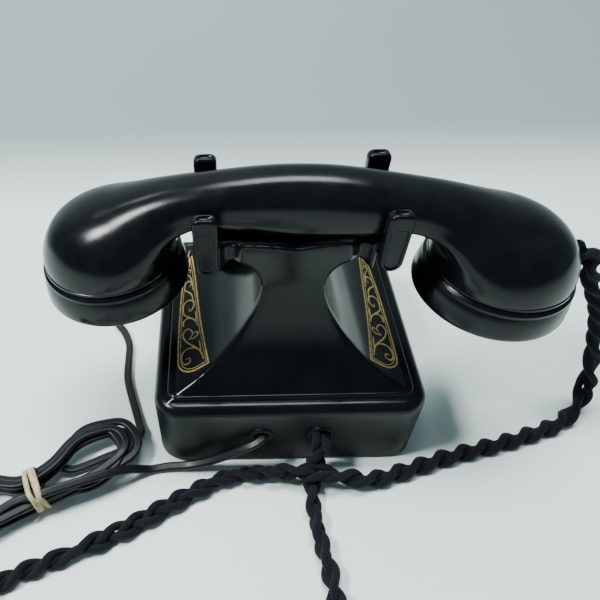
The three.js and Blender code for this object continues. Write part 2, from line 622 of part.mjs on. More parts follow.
// Cap with a bead at its upper edge, a flared side and a drilled face.
function cap(holes) {
  const shape = [
    [0, -CAP_T + 1.4], [20, -CAP_T + 0.9], [28, -CAP_T + 0.1], [31.4, -CAP_T],
    [33.6, -CAP_T + 1.2], [34.2, -CAP_T + 3.2],
    [33.3, -8.5], [31.9, -3.6], [32.4, -2.4], [32.2, -1.1], [31.3, -GAP],
    [NECK_R + GAP, -GAP], [NECK_R + GAP, -CAP_T + 4], [0, -CAP_T + 4],
  ];
  let body = solid(turned(shape, 32));
  for (const [x, y, r] of holes) {
    body = body.subtract(solid(rod(r, -CAP_T - 2, -CAP_T + 6, 6).translate(x, y, 0)));
  }
  return geometryOf(body);
}
const ringOfHoles = (count, radius, size) => circle(radius, 0, 0, count).map(([x, y]) => [x, y, size]);
const receiverHoles = [[0, 0, 2], ...ringOfHoles(6, 8, 2)];
const transmitterHoles = [[0, 0, 1.8], ...ringOfHoles(6, 6.5, 1.8), ...ringOfHoles(10, 13, 1.8)];
piece("receiver_cap", cap(receiverHoles).applyMatrix4(endFrame(1)), BAKELITE, handset);
piece("transmitter_cap", cap(transmitterHoles).applyMatrix4(endFrame(-1)), BAKELITE, handset);
const capsule = [[0, -11], [22, -11], [24, -9], [24, 1], [18, 5], [0, 5]];
piece("receiver_capsule", turned(capsule, 20).applyMatrix4(endFrame(1)), NICKEL, handset);
piece("transmitter_capsule", turned(capsule, 20).applyMatrix4(endFrame(-1)), NICKEL, handset);

// ---------- cords, lying on the table at Z = 0 ----------
// Handset cord from the eyelet down the rear wall and away from the case.
const ROPE_FROM_CASE = [
  [-10.9, 64.9, 25.6], [-10.9, 67.8, 24.2], [-10.4, 69.3, 19], [-9.8, 69.4, 13.5], [-9, 70, 8],
  [-7.9, 73.2, 4.1], [-6.6, 80, ROPE_LIFT], [-6, 92, ROPE_LIFT], [-7.4, 107, ROPE_LIFT],
  [-10.2, 126, ROPE_LIFT], [-9.4, 143, ROPE_LIFT], [-1, 158, ROPE_LIFT], [11, 164.5, ROPE_LIFT],
  [22.5, 164, ROPE_LIFT],
];
// Handset cord from the coil, over the stretch above, and up to the handset.
const ROPE_TO_HANDSET = [
  [130, 161, ROPE_LIFT], [143, 156, ROPE_LIFT], [149.5, 145, ROPE_LIFT], [147, 132, ROPE_LIFT],
  [137, 122, ROPE_LIFT], [112, 112, ROPE_LIFT], [87, 101, ROPE_LIFT], [62, 87, ROPE_LIFT],
  [50, 80.5, ROPE_LIFT], [37, 75, ROPE_LIFT], [24, 73.5, 4.6], [8, 74.6, 8.6], [-8, 76.4, 11.2],
  [-24, 77.8, 8.4], [-38, 77.3, 4.6], [-62, 70.2, ROPE_LIFT], [-77, 65.6, ROPE_LIFT],
  [-108, 58, ROPE_LIFT], [-125, 53, ROPE_LIFT], [-142, 47, 3.6], [-154, 38.5, 6.6], [-159, 30, 17],
  [-156.6, 25.8, 34], [-150.4, 24.3, 54], [-142.4, 25.2, 72], [-127.8, 27.2, 95.4],
];
const LINE_FROM_CASE = [
  [17.9, 64.8, 25.6], [20, 67, 25], [25.4, 68.3, 22.4], [33, 68.5, 17], [43, 68.2, 10],
  [54, 67.7, 4.8], [66, 67.4, 2.6], [75, 68.6, 2.3],
];
const LINE_TAIL = [
  [81.4, 48.6, 4.6], [82.8, 43, 3], [85.4, 35, 2.3], [89, 24, 2.3], [92.6, 11, 2.3],
  [93.4, -2, 2.3], [94, -14, 2.3], [97.6, -24, 2.3], [103, -32, 2.3], [107.6, -43, 2.3],
  [110.4, -54, 2.4], [112.4, -64, 2.6],
];

// Tube along a route.
function cord(points, section, steps) {
  const route = new THREE.CatmullRomCurve3(points.map(([x, y, z]) => new THREE.Vector3(x, y, z)));
  const shape = new THREE.Shape(section.map(([x, y]) => vec(x, y)));
  return new THREE.ExtrudeGeometry(shape, { steps, extrudePath: route, bevelEnabled: false });
}
const ropeSection = circle(ROPE_D / 2, 0, 0, 8);
const lineSection = circle(LINE_D / 2, 0, 0, 8);
piece("handset_cord_from_case", cord(ROPE_FROM_CASE, ropeSection, 22), COTTON, phone);
piece("handset_cord_to_handset", cord(ROPE_TO_HANDSET, ropeSection, 44), COTTON, phone);
piece("line_cord_from_case", cord(LINE_FROM_CASE, lineSection, 12), PVC, phone);
piece("line_cord_tail", cord(LINE_TAIL, lineSection, 16), PVC, phone);

// The last few centimetres of the handset cord hang from the bush and lift with it.
const ROPE_TAIL = [[-120, 25, 107.3], [-122.6, 25.3, 106.7], [-125.6, 26.4, 102.6], [-127.3, 27.1, 97.2]];
piece("handset_cord_tail", cord(ROPE_TAIL, ropeSection, 5), COTTON, phone);

const COIL_X = 75;
const COIL_Y = 198;
const COIL_R_MID = 48;
const coilRing = [
  [COIL_R_MID - 5, 1.6], [COIL_R_MID - 3, 0.1], [COIL_R_MID + 3, 0.1], [COIL_R_MID + 5, 1.6],
  [COIL_R_MID + 5, 11.4], [COIL_R_MID + 3, 13], [COIL_R_MID - 3, 13], [COIL_R_MID - 5, 11.4],
  [COIL_R_MID - 5, 1.6],
];
piece("handset_cord_coil", turned(coilRing, 36), COTTON, phone).position.set(COIL_X, COIL_Y, 0);

// Hank of the line cord, pinched by its tie. U runs along the hank and V across it.
const HANK_X = 130;
const HANK_Y = 82;
const HANK_TURN = THREE.MathUtils.degToRad(26);
const HANK_LOW = 1.9;
const HANK_HIGH = 17.5;
const TIE_HALF = 4;
const lobeLow = [
  [-TIE_HALF - 0.4, -9], [-11, -16], [-22, -23], [-34, -25.5], [-45, -23.5], [-53, -17], [-57, -8],
];
const lobeHigh = [[-56.5, 2], [-52, 8], [-42, 12], [-22, 12.5], [-11, 11], [-TIE_HALF - 0.4, 9]];
const nearLobe = [...lobeLow, ...lobeHigh];
const hankOutline = [...nearLobe, ...nearLobe.slice().reverse().map(([u, v]) => [-u, v])];
function lay(mesh) {
  mesh.position.set(HANK_X, HANK_Y, 0);
  mesh.rotation.z = HANK_TURN;
}
lay(piece("line_cord_hank", prism(hankOutline, HANK_LOW, HANK_HIGH), PVC, phone));
function tie() {
  const outer = [
    [-10.6, 2], [-8.6, 0.2], [8.6, 0.2], [10.6, 2], [10.6, 17.2], [8.6, 19.2], [-8.6, 19.2], [-10.6, 17.2],
  ];
  const inner = [
    [-9.3, HANK_LOW - GAP], [9.3, HANK_LOW - GAP], [9.3, HANK_HIGH + GAP], [-9.3, HANK_HIGH + GAP],
  ];
  const wraps = solid(prismAlongX(outer, -TIE_HALF, TIE_HALF));
  return geometryOf(wraps.subtract(solid(prismAlongX(inner, -9, 9))));
}
lay(piece("hank_tie", tie(), RAFFIA, phone));

// Modular plug, lying behind the receiver end.
function plug() {
  const body = solid(box(10, 16, 6.6, 0, -8, 3.4));
  const boot = solid(box(6.5, 7, 5, 0, 3.2, 3));
  const latch = solid(box(3.4, 12, 1.2, 0, -7, 7.2));
  return geometryOf(body.add(boot).add(latch));
}
const plugMesh = piece("line_plug", plug(), PVC, phone);
plugMesh.position.set(113.7, -71.6, 0);
plugMesh.rotation.z = THREE.MathUtils.degToRad(11);

export default phone;
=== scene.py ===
"""Looks of a French-style cradle telephone: enamelled case, bakelite handset, plaited cord.

Lengths below are millimetres in the part's frame and are turned to metres by MM as each
mesh is made. -Y is the front, with the dial, and +Y the rear, where both cords leave.
"""
import json
import math
import random

import bmesh
import bpy
import numpy as np
from mathutils import Matrix, Vector
from mathutils.bvhtree import BVHTree


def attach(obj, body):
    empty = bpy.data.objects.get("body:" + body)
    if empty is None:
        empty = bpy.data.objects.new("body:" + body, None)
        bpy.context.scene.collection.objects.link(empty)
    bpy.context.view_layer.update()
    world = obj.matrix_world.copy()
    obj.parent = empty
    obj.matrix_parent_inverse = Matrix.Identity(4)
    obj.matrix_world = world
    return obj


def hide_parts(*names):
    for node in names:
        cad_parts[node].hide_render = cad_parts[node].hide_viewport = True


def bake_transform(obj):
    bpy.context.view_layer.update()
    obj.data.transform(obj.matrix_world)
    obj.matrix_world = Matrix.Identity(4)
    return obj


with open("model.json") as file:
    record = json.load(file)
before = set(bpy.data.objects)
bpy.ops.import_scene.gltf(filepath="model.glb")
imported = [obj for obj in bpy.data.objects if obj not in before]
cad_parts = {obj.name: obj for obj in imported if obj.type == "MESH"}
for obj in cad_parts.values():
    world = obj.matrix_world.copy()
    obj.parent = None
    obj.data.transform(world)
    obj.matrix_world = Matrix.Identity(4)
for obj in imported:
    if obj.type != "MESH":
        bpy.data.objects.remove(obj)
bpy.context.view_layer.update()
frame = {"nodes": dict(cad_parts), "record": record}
MM = 0.001
SCENE = bpy.context.scene
random.seed(7)

# ---------- sizes shared with the frame ----------
CASE_X = 4.5
BASE_W, BASE_D, CORNER_R = 132.0, 126.2, 13.0
SKIRT_FOOT, SKIRT_TOP, SKIRT_ROUND = 1.2, 45.8, 5.4
PLINTH_TOP, PLINTH_INSET = 47.9, 6.9
CRADLE_Y = 16.5
YOKE_END = 32.1
NECK_BACK = 33.0
WALL = 2.9
DIAL = Matrix.Translation((CASE_X, -27.5, 75.0)) @ Matrix.Rotation(math.radians(45), 4, "X")
DRUM_R, DRUM_RIM, DRUM_BACK = 39.5, 6.0, -12.0
POCKET_R = 37.3
WHEEL_R = 34.3
HOLE_R, HOLE_CENTRE_R = 5.8, 26.6
CORD_HOLE_Z = 25.6
LINE_HOLE_X, ROPE_HOLE_X = 13.4 + CASE_X, -15.4 + CASE_X
PLUNGER_LINE = Matrix.Translation((CASE_X, 21.5, 0))
HANDSET = Matrix.Translation((0, CRADLE_Y, 0)) @ Matrix.Rotation(math.radians(-4.5), 4, "Z")
CAP_X, SEAM_Z, CAP_TILT = 86.7, 101.8, math.radians(3.5)
CAP_T = 16.8
SEAM_R = 31.0
NECK_R = 27.6


def add(name, data):
    """A new object in the scene."""
    obj = bpy.data.objects.new(name, data)
    SCENE.collection.objects.link(obj)
    return obj


# ---------- camera ----------
def make_camera():
    data = bpy.data.cameras.new("camera")
    data.sensor_width = 36.0
    data.lens = 34.33
    data.shift_x = 0.1471
    data.shift_y = -0.0023
    data.clip_start = 0.01
    camera = add("camera", data)
    turn = (
        Matrix.Rotation(math.radians(181.646), 4, "Z")
        @ Matrix.Rotation(math.radians(43.559), 4, "X")
        @ Matrix.Rotation(math.radians(-2.551), 4, "Z")
    )
    camera.matrix_world = Matrix.Translation((0.03555, 0.20883, 0.27703)) @ turn
    SCENE.camera = camera


make_camera()


# ---------- materials ----------
class Look:
    """A material being built; its methods add nodes and return a socket."""

    def __init__(self, name, **fixed):
        self.material = bpy.data.materials.new(name)
        self.material.use_nodes = True
        self.nodes = self.material.node_tree.nodes
        self.shader = self.nodes["Principled BSDF"]
        for socket, value in fixed.items():
            self.shader.inputs[socket.replace("_", " ")].default_value = value

    def link(self, socket, target):
        self.material.node_tree.links.new(socket, target)

    def feed(self, name, socket):
        """Joins a socket to one of the shader's inputs."""
        self.link(socket, self.shader.inputs[name])

    def noise(self, scale, detail=4.0, roughness=0.55, stretch=(1, 1, 1)):
        """Noise in object space, so it keeps its scale on every piece."""
        place = self.nodes.new("ShaderNodeTexCoord")
        mapping = self.nodes.new("ShaderNodeMapping")
        mapping.inputs["Scale"].default_value = stretch
        self.link(place.outputs["Object"], mapping.inputs["Vector"])
        texture = self.nodes.new("ShaderNodeTexNoise")
        texture.inputs["Scale"].default_value = scale
        texture.inputs["Detail"].default_value = detail
        texture.inputs["Roughness"].default_value = roughness
        self.link(mapping.outputs["Vector"], texture.inputs["Vector"])
        return texture.outputs["Fac"]

    def ramp(self, value, low, high, start=0.35, end=0.65):
        """Maps a value to a grey level or a colour between low and high."""
        node = self.nodes.new("ShaderNodeValToRGB")
        for element, level, position in zip(node.color_ramp.elements, (low, high), (start, end)):
            element.position = position
            element.color = (*(level if isinstance(level, tuple) else (level,) * 3), 1.0)
        self.link(value, node.inputs["Fac"])
        return node.outputs["Color"]

    def bump(self, height, distance, strength=1.0, previous=None):
        node = self.nodes.new("ShaderNodeBump")
        node.inputs["Strength"].default_value = strength
        node.inputs["Distance"].default_value = distance
        self.link(height, node.inputs["Height"])
        if previous is not None:
            self.link(previous, node.inputs["Normal"])
        self.feed("Normal", node.outputs["Normal"])
        return node.outputs["Normal"]

    def place(self, axis):
        """Position along an axis, in metres."""
        place = self.nodes.new("ShaderNodeTexCoord")
        split = self.nodes.new("ShaderNodeSeparateXYZ")
        self.link(place.outputs["Object"], split.inputs["Vector"])
        return split.outputs[axis]

    def between(self, value, start, end, top=1.0):
        """0 where the value is at start and top where it is at end."""
        node = self.nodes.new("ShaderNodeMapRange")
        node.inputs["From Min"].default_value = start
        node.inputs["From Max"].default_value = end
        node.inputs["To Max"].default_value = top
        self.link(value, node.inputs["Value"])
        return node

    def math(self, operation, *values):
        """Result of a math node over sockets and numbers."""
        node = self.nodes.new("ShaderNodeMath")
        node.operation = operation
        for value, socket in zip(values, node.inputs):
            if isinstance(value, float):
                socket.default_value = value
            else:
                self.link(value, socket)
        return node.outputs[0]


def enamel():
    """Gloss black enamel with faint rub marks, duller round the skirt."""
    look = Look("enamel", Specular_IOR_Level=0.2)
    tone = look.noise(60.0)
    look.feed("Base Color", look.ramp(tone, (0.0022, 0.0030, 0.0042), (0.0040, 0.0052, 0.0068)))
    rub = look.noise(35.0, 8.0, 0.7)
    dulled = look.between(look.place("Z"), 0.046, 0.036, 0.26).outputs["Result"]
    look.feed("Roughness", look.math("ADD", dulled, look.ramp(rub, 0.17, 0.27, 0.4, 0.75)))
    waves = look.bump(look.noise(130.0, 2.0), 0.00004, 0.6)
    look.bump(look.noise(1400.0, 2.0), 0.000012, 0.6, waves)
    return look.material


def plain(name, tone, polish=None, relief=(), **fixed):
    """A colour between two over noise, with uneven polish and layers of fine relief.

    tone and polish each hold the noise's settings, a low and a high level, and where the ramp
    starts and ends; each layer of relief holds the noise's settings, a depth and a strength.
    """
    look = Look(name, **fixed)
    look.feed("Base Color", look.ramp(look.noise(*tone[0]), *tone[1:]))
    if polish:
        look.feed("Roughness", look.ramp(look.noise(*polish[0]), *polish[1:]))
    below = None
    for settings, depth, strength in relief:
        below = look.bump(look.noise(*settings), depth, strength, below)
    return look.material


def metal(name, low, high, roughness=(0.18, 0.34), scale=200.0, stretch=(1, 1, 1)):
    """Plain or plated metal with fine marks along one way."""
    grain = (scale, 6.0, 0.6, stretch)
    polish = (grain, *roughness, 0.3, 0.7)
    return plain(name, ((40.0,), low, high), polish, [(grain, 0.00002, 0.3)], Metallic=1.0)


def dull(name, low, high, roughness, scale=300.0):
    """Rubber, board or winding: a matt body colour over a fine relief."""
    return plain(name, ((70.0,), low, high), relief=[((scale, 5.0), 0.00006, 0.6)], Roughness=roughness)


def braid():
    """Woven cotton sleeve: diamond weave from the strand's own coordinates, with fibres; the colour follows
    the weave's height, with painted shade in its grooves.
    """
    look = Look("cotton_braid", Roughness=0.85, Sheen_Weight=0.07, Sheen_Roughness=0.5,
                Sheen_Tint=(0.35, 0.42, 0.6, 1.0), Specular_IOR_Level=0.25)
    along = look.nodes.new("ShaderNodeAttribute")
    along.attribute_name = "weave"
    split = look.nodes.new("ShaderNodeSeparateXYZ")
    look.link(along.outputs["Vector"], split.inputs["Vector"])
    waves = []
    for sign in (1.0, -1.0):
        lean = look.math("MULTIPLY_ADD", split.outputs["X"], sign, split.outputs["Y"])
        waves.append(look.math("SINE", lean))
    weave = look.math("MAXIMUM", *waves)
    # Painted shade: the weave's low grooves are coloured darker than the thread crowns.
    look.feed("Base Color", look.ramp(weave, (0.0012, 0.0018, 0.0030), (0.0042, 0.0060, 0.0095), 0.1, 1.0))
    relief = look.bump(weave, 0.00018, 0.8)
    look.bump(look.noise(3500.0, 3.0), 0.00008, 0.7, relief)
    return look.material


ENAMEL = enamel()
# Polished black moulding with a fine satin grain.
BAKELITE = plain(
    "bakelite", ((90.0,), (0.0024, 0.0032, 0.0044), (0.0046, 0.0058, 0.0072)),
    ((45.0, 8.0, 0.7), 0.14, 0.26, 0.35, 0.7),
    [((900.0, 3.0), 0.00003, 0.5), ((4200.0, 2.0), 0.00002, 0.6)], Specular_IOR_Level=0.24,
)
NICKEL = metal("nickel", (0.52, 0.50, 0.46), (0.66, 0.64, 0.60), (0.14, 0.3))
STEEL = metal("steel", (0.36, 0.37, 0.38), (0.50, 0.50, 0.51), (0.28, 0.48), 350.0, (1, 6, 1))
BRASS = metal("brass", (0.50, 0.34, 0.12), (0.68, 0.50, 0.22), (0.2, 0.38))
RUBBER = dull("rubber", (0.012, 0.012, 0.012), (0.022, 0.022, 0.022), 0.75)
FIBRE = dull("fibre", (0.14, 0.07, 0.03), (0.24, 0.14, 0.07), 0.7)
COIL = dull("coil", (0.16, 0.03, 0.012), (0.30, 0.08, 0.03), 0.45, 900.0)
# Vitreous cream dial plate, faintly yellowed.
PLATE_WHITE = plain(
    "plate_white", ((55.0, 6.0), (0.62, 0.58, 0.47), (0.74, 0.71, 0.61)),
    relief=[((500.0, 2.0), 0.00001, 0.4)], Roughness=0.22, Coat_Weight=0.4,
)
BRAID = braid()
# Semi-gloss black cord sheath, unevenly polished.
CORD_PLASTIC = plain(
    "cord_plastic", ((120.0,), (0.0030, 0.0038, 0.0048), (0.0060, 0.0072, 0.0086)),
    ((260.0, 6.0), 0.36, 0.5), [((700.0, 3.0), 0.00003, 0.5)], Specular_IOR_Level=0.32,
)
# Beige paper twist: fibres along the wrap, varied in tone; the colour follows the relief, so the folds are
# darker as painted shade.
FIBRES = (1500.0, 5.0, 0.6, (0.35, 0.35, 1.6))
RAFFIA = plain(
    "raffia", (FIBRES, (0.30, 0.20, 0.09), (0.72, 0.58, 0.36), 0.3, 0.68),
    relief=[(FIBRES, 0.00025, 0.9)], Roughness=0.75, Sheen_Weight=0.2,
)
# Gold transfer, worn thin in places.
GILT = plain(
    "gilt", ((500.0, 5.0), (0.30, 0.19, 0.055), (0.62, 0.43, 0.17), 0.3, 0.6),
    Metallic=0.65, Roughness=0.38,
)
INK = plain("ink", ((800.0,), (0.010, 0.010, 0.012), (0.02, 0.02, 0.022)), Roughness=0.35)
SLOT_LOOKS = {
    "enamel": ENAMEL, "bakelite": BAKELITE, "steel": STEEL, "nickel": NICKEL, "brass": BRASS,
    "rubber": RUBBER, "plate_white": PLATE_WHITE, "coil": COIL, "fibre": FIBRE,
    "cotton": BRAID, "pvc": CORD_PLASTIC, "raffia": RAFFIA,
}


# ---------- mesh helpers ----------
def circle(count, start=0.0):
    """Cosine and sine of evenly spaced angles."""
    angles = [start + 2 * math.pi * k / count for k in range(count)]
    return [(math.cos(a), math.sin(a)) for a in angles]


def quarter(radius, count):
    """Set-back and drop of points round a rounded edge, from its side to its top."""
    angles = np.linspace(0, math.pi / 2, count)
    return [(radius * (1 - math.cos(a)), radius * (1 - math.sin(a))) for a in angles]


def signed(value, power):
    """A power of the size of a value, with the value's sign kept."""
    return math.copysign(abs(value) ** power, value)


def eased(value):
    """0 to 1 with a soft start and end, held outside that range."""
    share = min(max(value, 0), 1)
    return share * share * (3 - 2 * share)


def new_piece(name, vertices, faces, material, smooth=True):
    """A mesh object from millimetre vertices."""
    mesh = bpy.data.meshes.new(name)
    mesh.from_pydata([tuple(MM * c for c in v) for v in vertices], [], faces)
    mesh.validate()
    mesh.update()
    mesh.materials.append(material)
    mesh.polygons.foreach_set("use_smooth", [smooth] * len(mesh.polygons))
    return add(name, mesh)


def smooth_all(obj):
    obj.data.polygons.foreach_set("use_smooth", [True] * len(obj.data.polygons))


def fix_normals(obj):
    work = bmesh.new()
    work.from_mesh(obj.data)
    bmesh.ops.recalc_face_normals(work, faces=work.faces)
    work.to_mesh(obj.data)
    work.free()
    return obj


def loft(rings, closed=False):
    """Vertices and faces of a skin over rings with equal point counts, with ends unless closed."""
    count = len(rings[0])
    vertices = [tuple(p) for ring in rings for p in ring]
    faces = []
    rows = len(rings) if closed else len(rings) - 1
    for i in range(rows):
        below, above = i * count, ((i + 1) % len(rings)) * count
        for j in range(count):
            k = (j + 1) % count
            faces.append((below + j, below + k, above + k, above + j))
    if not closed:
        faces.append(tuple(range(count))[::-1])
        faces.append(tuple(range((len(rings) - 1) * count, len(rings) * count)))
    return vertices, faces


def lathe(profile, segments=96, matrix=Matrix.Identity(4)):
    """Solid of revolution about Z; a radius of 0 makes a pole."""
    vertices, faces, rows = [], [], []
    for radius, z in profile:
        if radius < 1e-6:
            rows.append([len(vertices)] * segments)
            vertices.append(matrix @ Vector((0, 0, z)))
            continue
        rows.append(list(range(len(vertices), len(vertices) + segments)))
        vertices += [matrix @ Vector((radius * c, radius * s, z)) for c, s in circle(segments)]
    closed = profile[0] == profile[-1]
    if closed:
        vertices = vertices[:-segments]
        rows[-1] = rows[0]
    for low, high in zip(rows, rows[1:]):
        for i in range(segments):
            k = (i + 1) % segments
            corners = []
            for vertex in (low[i], low[k], high[k], high[i]):
                if vertex not in corners:
                    corners.append(vertex)
            if len(corners) > 2:
                faces.append(tuple(corners))
    return vertices, faces


def catmull(points, per_span=8, closed=False):
    """Smooth line through the points, as an array."""
    p = [np.array(q, float) for q in points]
    if closed:
        p = [p[-1], *p, p[0], p[1]]
    else:
        p = [2 * p[0] - p[1], *p, 2 * p[-1] - p[-2]]
    out = []
    for a, b, c, d in zip(p, p[1:], p[2:], p[3:]):
        for i in range(per_span):
            t = i / per_span
            square, cube = 2 * a - 5 * b + 4 * c - d, 3 * b - a - 3 * c + d
            out.append(0.5 * (2 * b + (c - a) * t + square * t**2 + cube * t**3))
    if not closed:
        out.append(p[-2])
    return np.array(out)


def rounded_ring(width, depth, radius, z, per_corner=12):
    """Rectangle with round corners, about the case's middle."""
    ring = []
    for corner, (sx, sy) in enumerate([(1, 1), (-1, 1), (-1, -1), (1, -1)]):
        for i in range(per_corner + 1):
            angle = (corner + i / per_corner) * math.pi / 2
            x = CASE_X + sx * (width / 2 - radius) + radius * math.cos(angle)
            y = sy * (depth / 2 - radius) + radius * math.sin(angle)
            ring.append((x, y, z))
    return ring


def prism_y(outline, low, high):
    """Prism of an (x, z) outline between two values of Y."""
    return loft([[(x, y, z) for x, z in outline] for y in (low, high)])


def prism_x(outline, low, high):
    """Prism of a (y, z) outline between two values of X."""
    return loft([[(x, y, z) for y, z in outline] for x in (low, high)])


def bar(place, half_width, half_height, stations):
    """Square bar along Y through (y, z) stations."""
    corners = ((-1, -1), (1, -1), (1, 1), (-1, 1))
    return loft([
        [place @ Vector((sx * half_width, y, z + sz * half_height)) for sx, sz in corners]
        for y, z in stations
    ])


def rod(radius, low, high, matrix=Matrix.Identity(4), segments=64):
    return lathe([(0, low), (radius, low), (radius, high), (0, high)], segments, matrix)


def solid(name, shape):
    return fix_normals(new_piece(name, *shape, ENAMEL, smooth=False))


def combine(target, tool, operation):
    """Boolean that leaves its result in target and removes the tool."""
    modifier = target.modifiers.new("cut", "BOOLEAN")
    modifier.operation = operation
    modifier.solver = "EXACT"
    modifier.object = tool
    apply_modifiers(target)
    bpy.data.objects.remove(tool)
    return target


def cut(target, *tools):
    """Takes each tool out of the target."""
    for tool in tools:
        combine(target, tool, "DIFFERENCE")
    return target


def apply_modifiers(obj):
    graph = bpy.context.evaluated_depsgraph_get()
    done = bpy.data.meshes.new_from_object(obj.evaluated_get(graph))
    old = obj.data
    obj.modifiers.clear()
    obj.data = done
    bpy.data.meshes.remove(old)


def round_edges(obj, width):
    """Rounds every sharp edge and gives the piece smooth shading between them."""
    modifier = obj.modifiers.new("round", "BEVEL")
    modifier.width = width * MM
    modifier.segments = 4
    modifier.limit_method = "ANGLE"
    modifier.angle_limit = math.radians(32)
    modifier.harden_normals = False
    modifier.use_clamp_overlap = True
    apply_modifiers(obj)
    shade(obj)


def soften(obj, voxel, passes):
    """Rounds a piece all over: even voxels, then smoothing."""
    remesh = obj.modifiers.new("even", "REMESH")
    remesh.mode = "VOXEL"
    remesh.voxel_size = voxel * MM
    melt = obj.modifiers.new("melt", "SMOOTH")
    melt.iterations = passes
    melt.factor = 0.5
    apply_modifiers(obj)
    smooth_all(obj)


def shade(obj, angle=40):
    """Smooth shading with edges sharper than the angle kept crisp."""
    smooth_all(obj)
    obj.data.set_sharp_from_angle(angle=math.radians(angle))
    weigh = obj.modifiers.new("weigh", "WEIGHTED_NORMAL")
    weigh.keep_sharp = True
    apply_modifiers(obj)
    return obj


def turned(name, profile, segments, matrix, material):
    """Smoothly shaded solid of revolution."""
    return shade(fix_normals(new_piece(name, *lathe(profile, segments, matrix), material)))


def dress(obj, body, slot, *stands_for):
    """Rides the piece on its body, and hides the nodes it stands for. The slot is not used."""
    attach(obj, body)
    if stands_for:
        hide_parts(*stands_for)
    return obj


# ---------- cord routes, the same points as the frame's ----------
TABLE_GAP = 0.2
ROPE_LIFT = 3.2
ROPE_IN_CASE = [(-10.9, 59.5, 25.6)]
ROPE_FROM_CASE = [
    (-10.9, 64.9, 25.6), (-10.9, 67.8, 24.2), (-10.4, 69.3, 19), (-9.8, 69.4, 13.5), (-9, 70, 8),
    (-7.9, 73.2, 4.1), (-6.6, 80, ROPE_LIFT), (-6, 92, ROPE_LIFT), (-7.4, 107, ROPE_LIFT),
    (-10.2, 126, ROPE_LIFT), (-9.4, 143, ROPE_LIFT), (-1, 158, ROPE_LIFT), (11, 164.5, ROPE_LIFT),
    (22.5, 164, ROPE_LIFT),
]
ROPE_TO_HANDSET = [
    (130, 161, ROPE_LIFT), (143, 156, ROPE_LIFT), (149.5, 145, ROPE_LIFT), (147, 132, ROPE_LIFT),
    (137, 122, ROPE_LIFT), (112, 112, ROPE_LIFT), (87, 101, ROPE_LIFT), (62, 87, ROPE_LIFT),
    (50, 80.5, ROPE_LIFT), (37, 75, ROPE_LIFT), (24, 73.5, 4.6), (8, 74.6, 8.6), (-8, 76.4, 11.2),
    (-24, 77.8, 8.4), (-38, 77.3, 4.6), (-62, 70.2, ROPE_LIFT), (-77, 65.6, ROPE_LIFT),
    (-108, 58, ROPE_LIFT), (-125, 53, ROPE_LIFT), (-142, 47, 3.6), (-154, 38.5, 6.6), (-159, 30, 17),
    (-156.6, 25.8, 34), (-150.4, 24.3, 54), (-142.4, 25.2, 72), (-127.8, 27.2, 95.4),
]
ROPE_TAIL = [(-125.6, 26.4, 102.6), (-122.6, 25.3, 106.7), (-120, 25, 107.3), (-116.5, 24.8, 107.3)]
COIL_X, COIL_Y, COIL_R = 75.0, 198.0, 48.0
LINE_W, LINE_T = 4.4, 2.8
LINE_IN_CASE = [(17.9, 59.5, 25.6)]
LINE_FROM_CASE = [
    (17.9, 64.8, 25.6), (20, 67, 25), (25.4, 68.3, 22.4), (33, 68.5, 17), (43, 68.2, 10),
    (54, 67.7, 4.8), (66, 67.4, 2.6), (75, 68.6, 2.3),
]
LINE_TAIL = [
    (81.4, 48.6, 4.6), (82.8, 43, 3), (85.4, 35, 2.3), (89, 24, 2.3), (92.6, 11, 2.3), (93.4, -2, 2.3),
    (94, -14, 2.3), (97.6, -24, 2.3), (103, -32, 2.3), (107.6, -43, 2.3), (110.4, -54, 2.4),
    (112.4, -64, 2.6),
]
HANK = Matrix.Translation((130, 82, 0)) @ Matrix.Rotation(math.radians(26), 4, "Z")
HANK_TURNS = 7


def coil_turns():
    """One turn of the coil on the table and a little more on top of it."""
    start, sweep, steps = math.radians(-112), math.radians(397), 26
    points = []
    for i in range(steps + 1):
        t = i / steps
        angle = start + sweep * t
        z = ROPE_LIFT + 6.4 * eased((math.degrees(sweep * t) - 318) / 36)
        points.append((COIL_X + COIL_R * math.cos(angle), COIL_Y + COIL_R * math.sin(angle), z))
    return points


def rope_route():
    off_coil = [(104, 157.5, 6.2), (117, 160.5, 3.8)]
    return [
        *ROPE_IN_CASE, *ROPE_FROM_CASE, (41, 159.8, ROPE_LIFT), *coil_turns(), *off_coil,
        *ROPE_TO_HANDSET, *ROPE_TAIL,
    ]


def hank_point(turn, angle):
    """A point of the hank's turns: the runs are pinched at the tie and fan out in the lobes."""
    column, layer = turn % 2, turn // 2
    reach = 55.0 - 3.1 * ((turn * 3) % 4)
    girth = 18.4 - 2.6 * ((turn * 5) % 4)
    u, across = reach * math.cos(angle), math.sin(angle)
    open_out = 1 - math.exp(-((u / 19) ** 2))
    tie_v = 2.3 + 4.4 * column
    v = math.copysign(1, across) * tie_v * (1 - open_out) * min(1, abs(across) * 3)
    v += girth * signed(across, 0.62) * open_out - 6.3 * open_out
    z = (4.6 + 3.0 * layer) * (1 - open_out) + (5.6 + 2.1 * layer + 0.9 * column) * open_out
    return np.array((u, v, z))


def hank_turns():
    """Turns wound down from the top, each blended into the next in its last quarter."""
    points = []
    steps = 18
    unwound = 8
    for i in range(HANK_TURNS * steps - unwound):
        place = i / steps
        turn = HANK_TURNS - 1 - int(place)
        angle = math.radians(78) - 2 * math.pi * (place % 1.0)
        here = hank_point(turn, angle)
        ahead = hank_point(max(turn - 1, 0), angle)
        points.append(here + (ahead - here) * eased((place % 1.0 - 0.72) / 0.28))
    return [tuple(HANK @ Vector(p)) for p in points]


def line_route():
    over_lobe = [
        (84.5, 71.6, 8.5), (93.5, 75.6, 13.2), (104.2, 80.3, 16), (115, 84.0, 16.6), (124, 87, 16.2),
    ]
    through_lobe = [(-20, -5.5, 3.2), (-36, -5.0, 2.6), (-47, -4.6, 2.9), (-53.5, -6.6, 3.6)]
    out = [tuple(HANK @ Vector(p)) for p in through_lobe]
    return [*LINE_IN_CASE, *LINE_FROM_CASE, *over_lobe, *hank_turns(), *out, *LINE_TAIL]


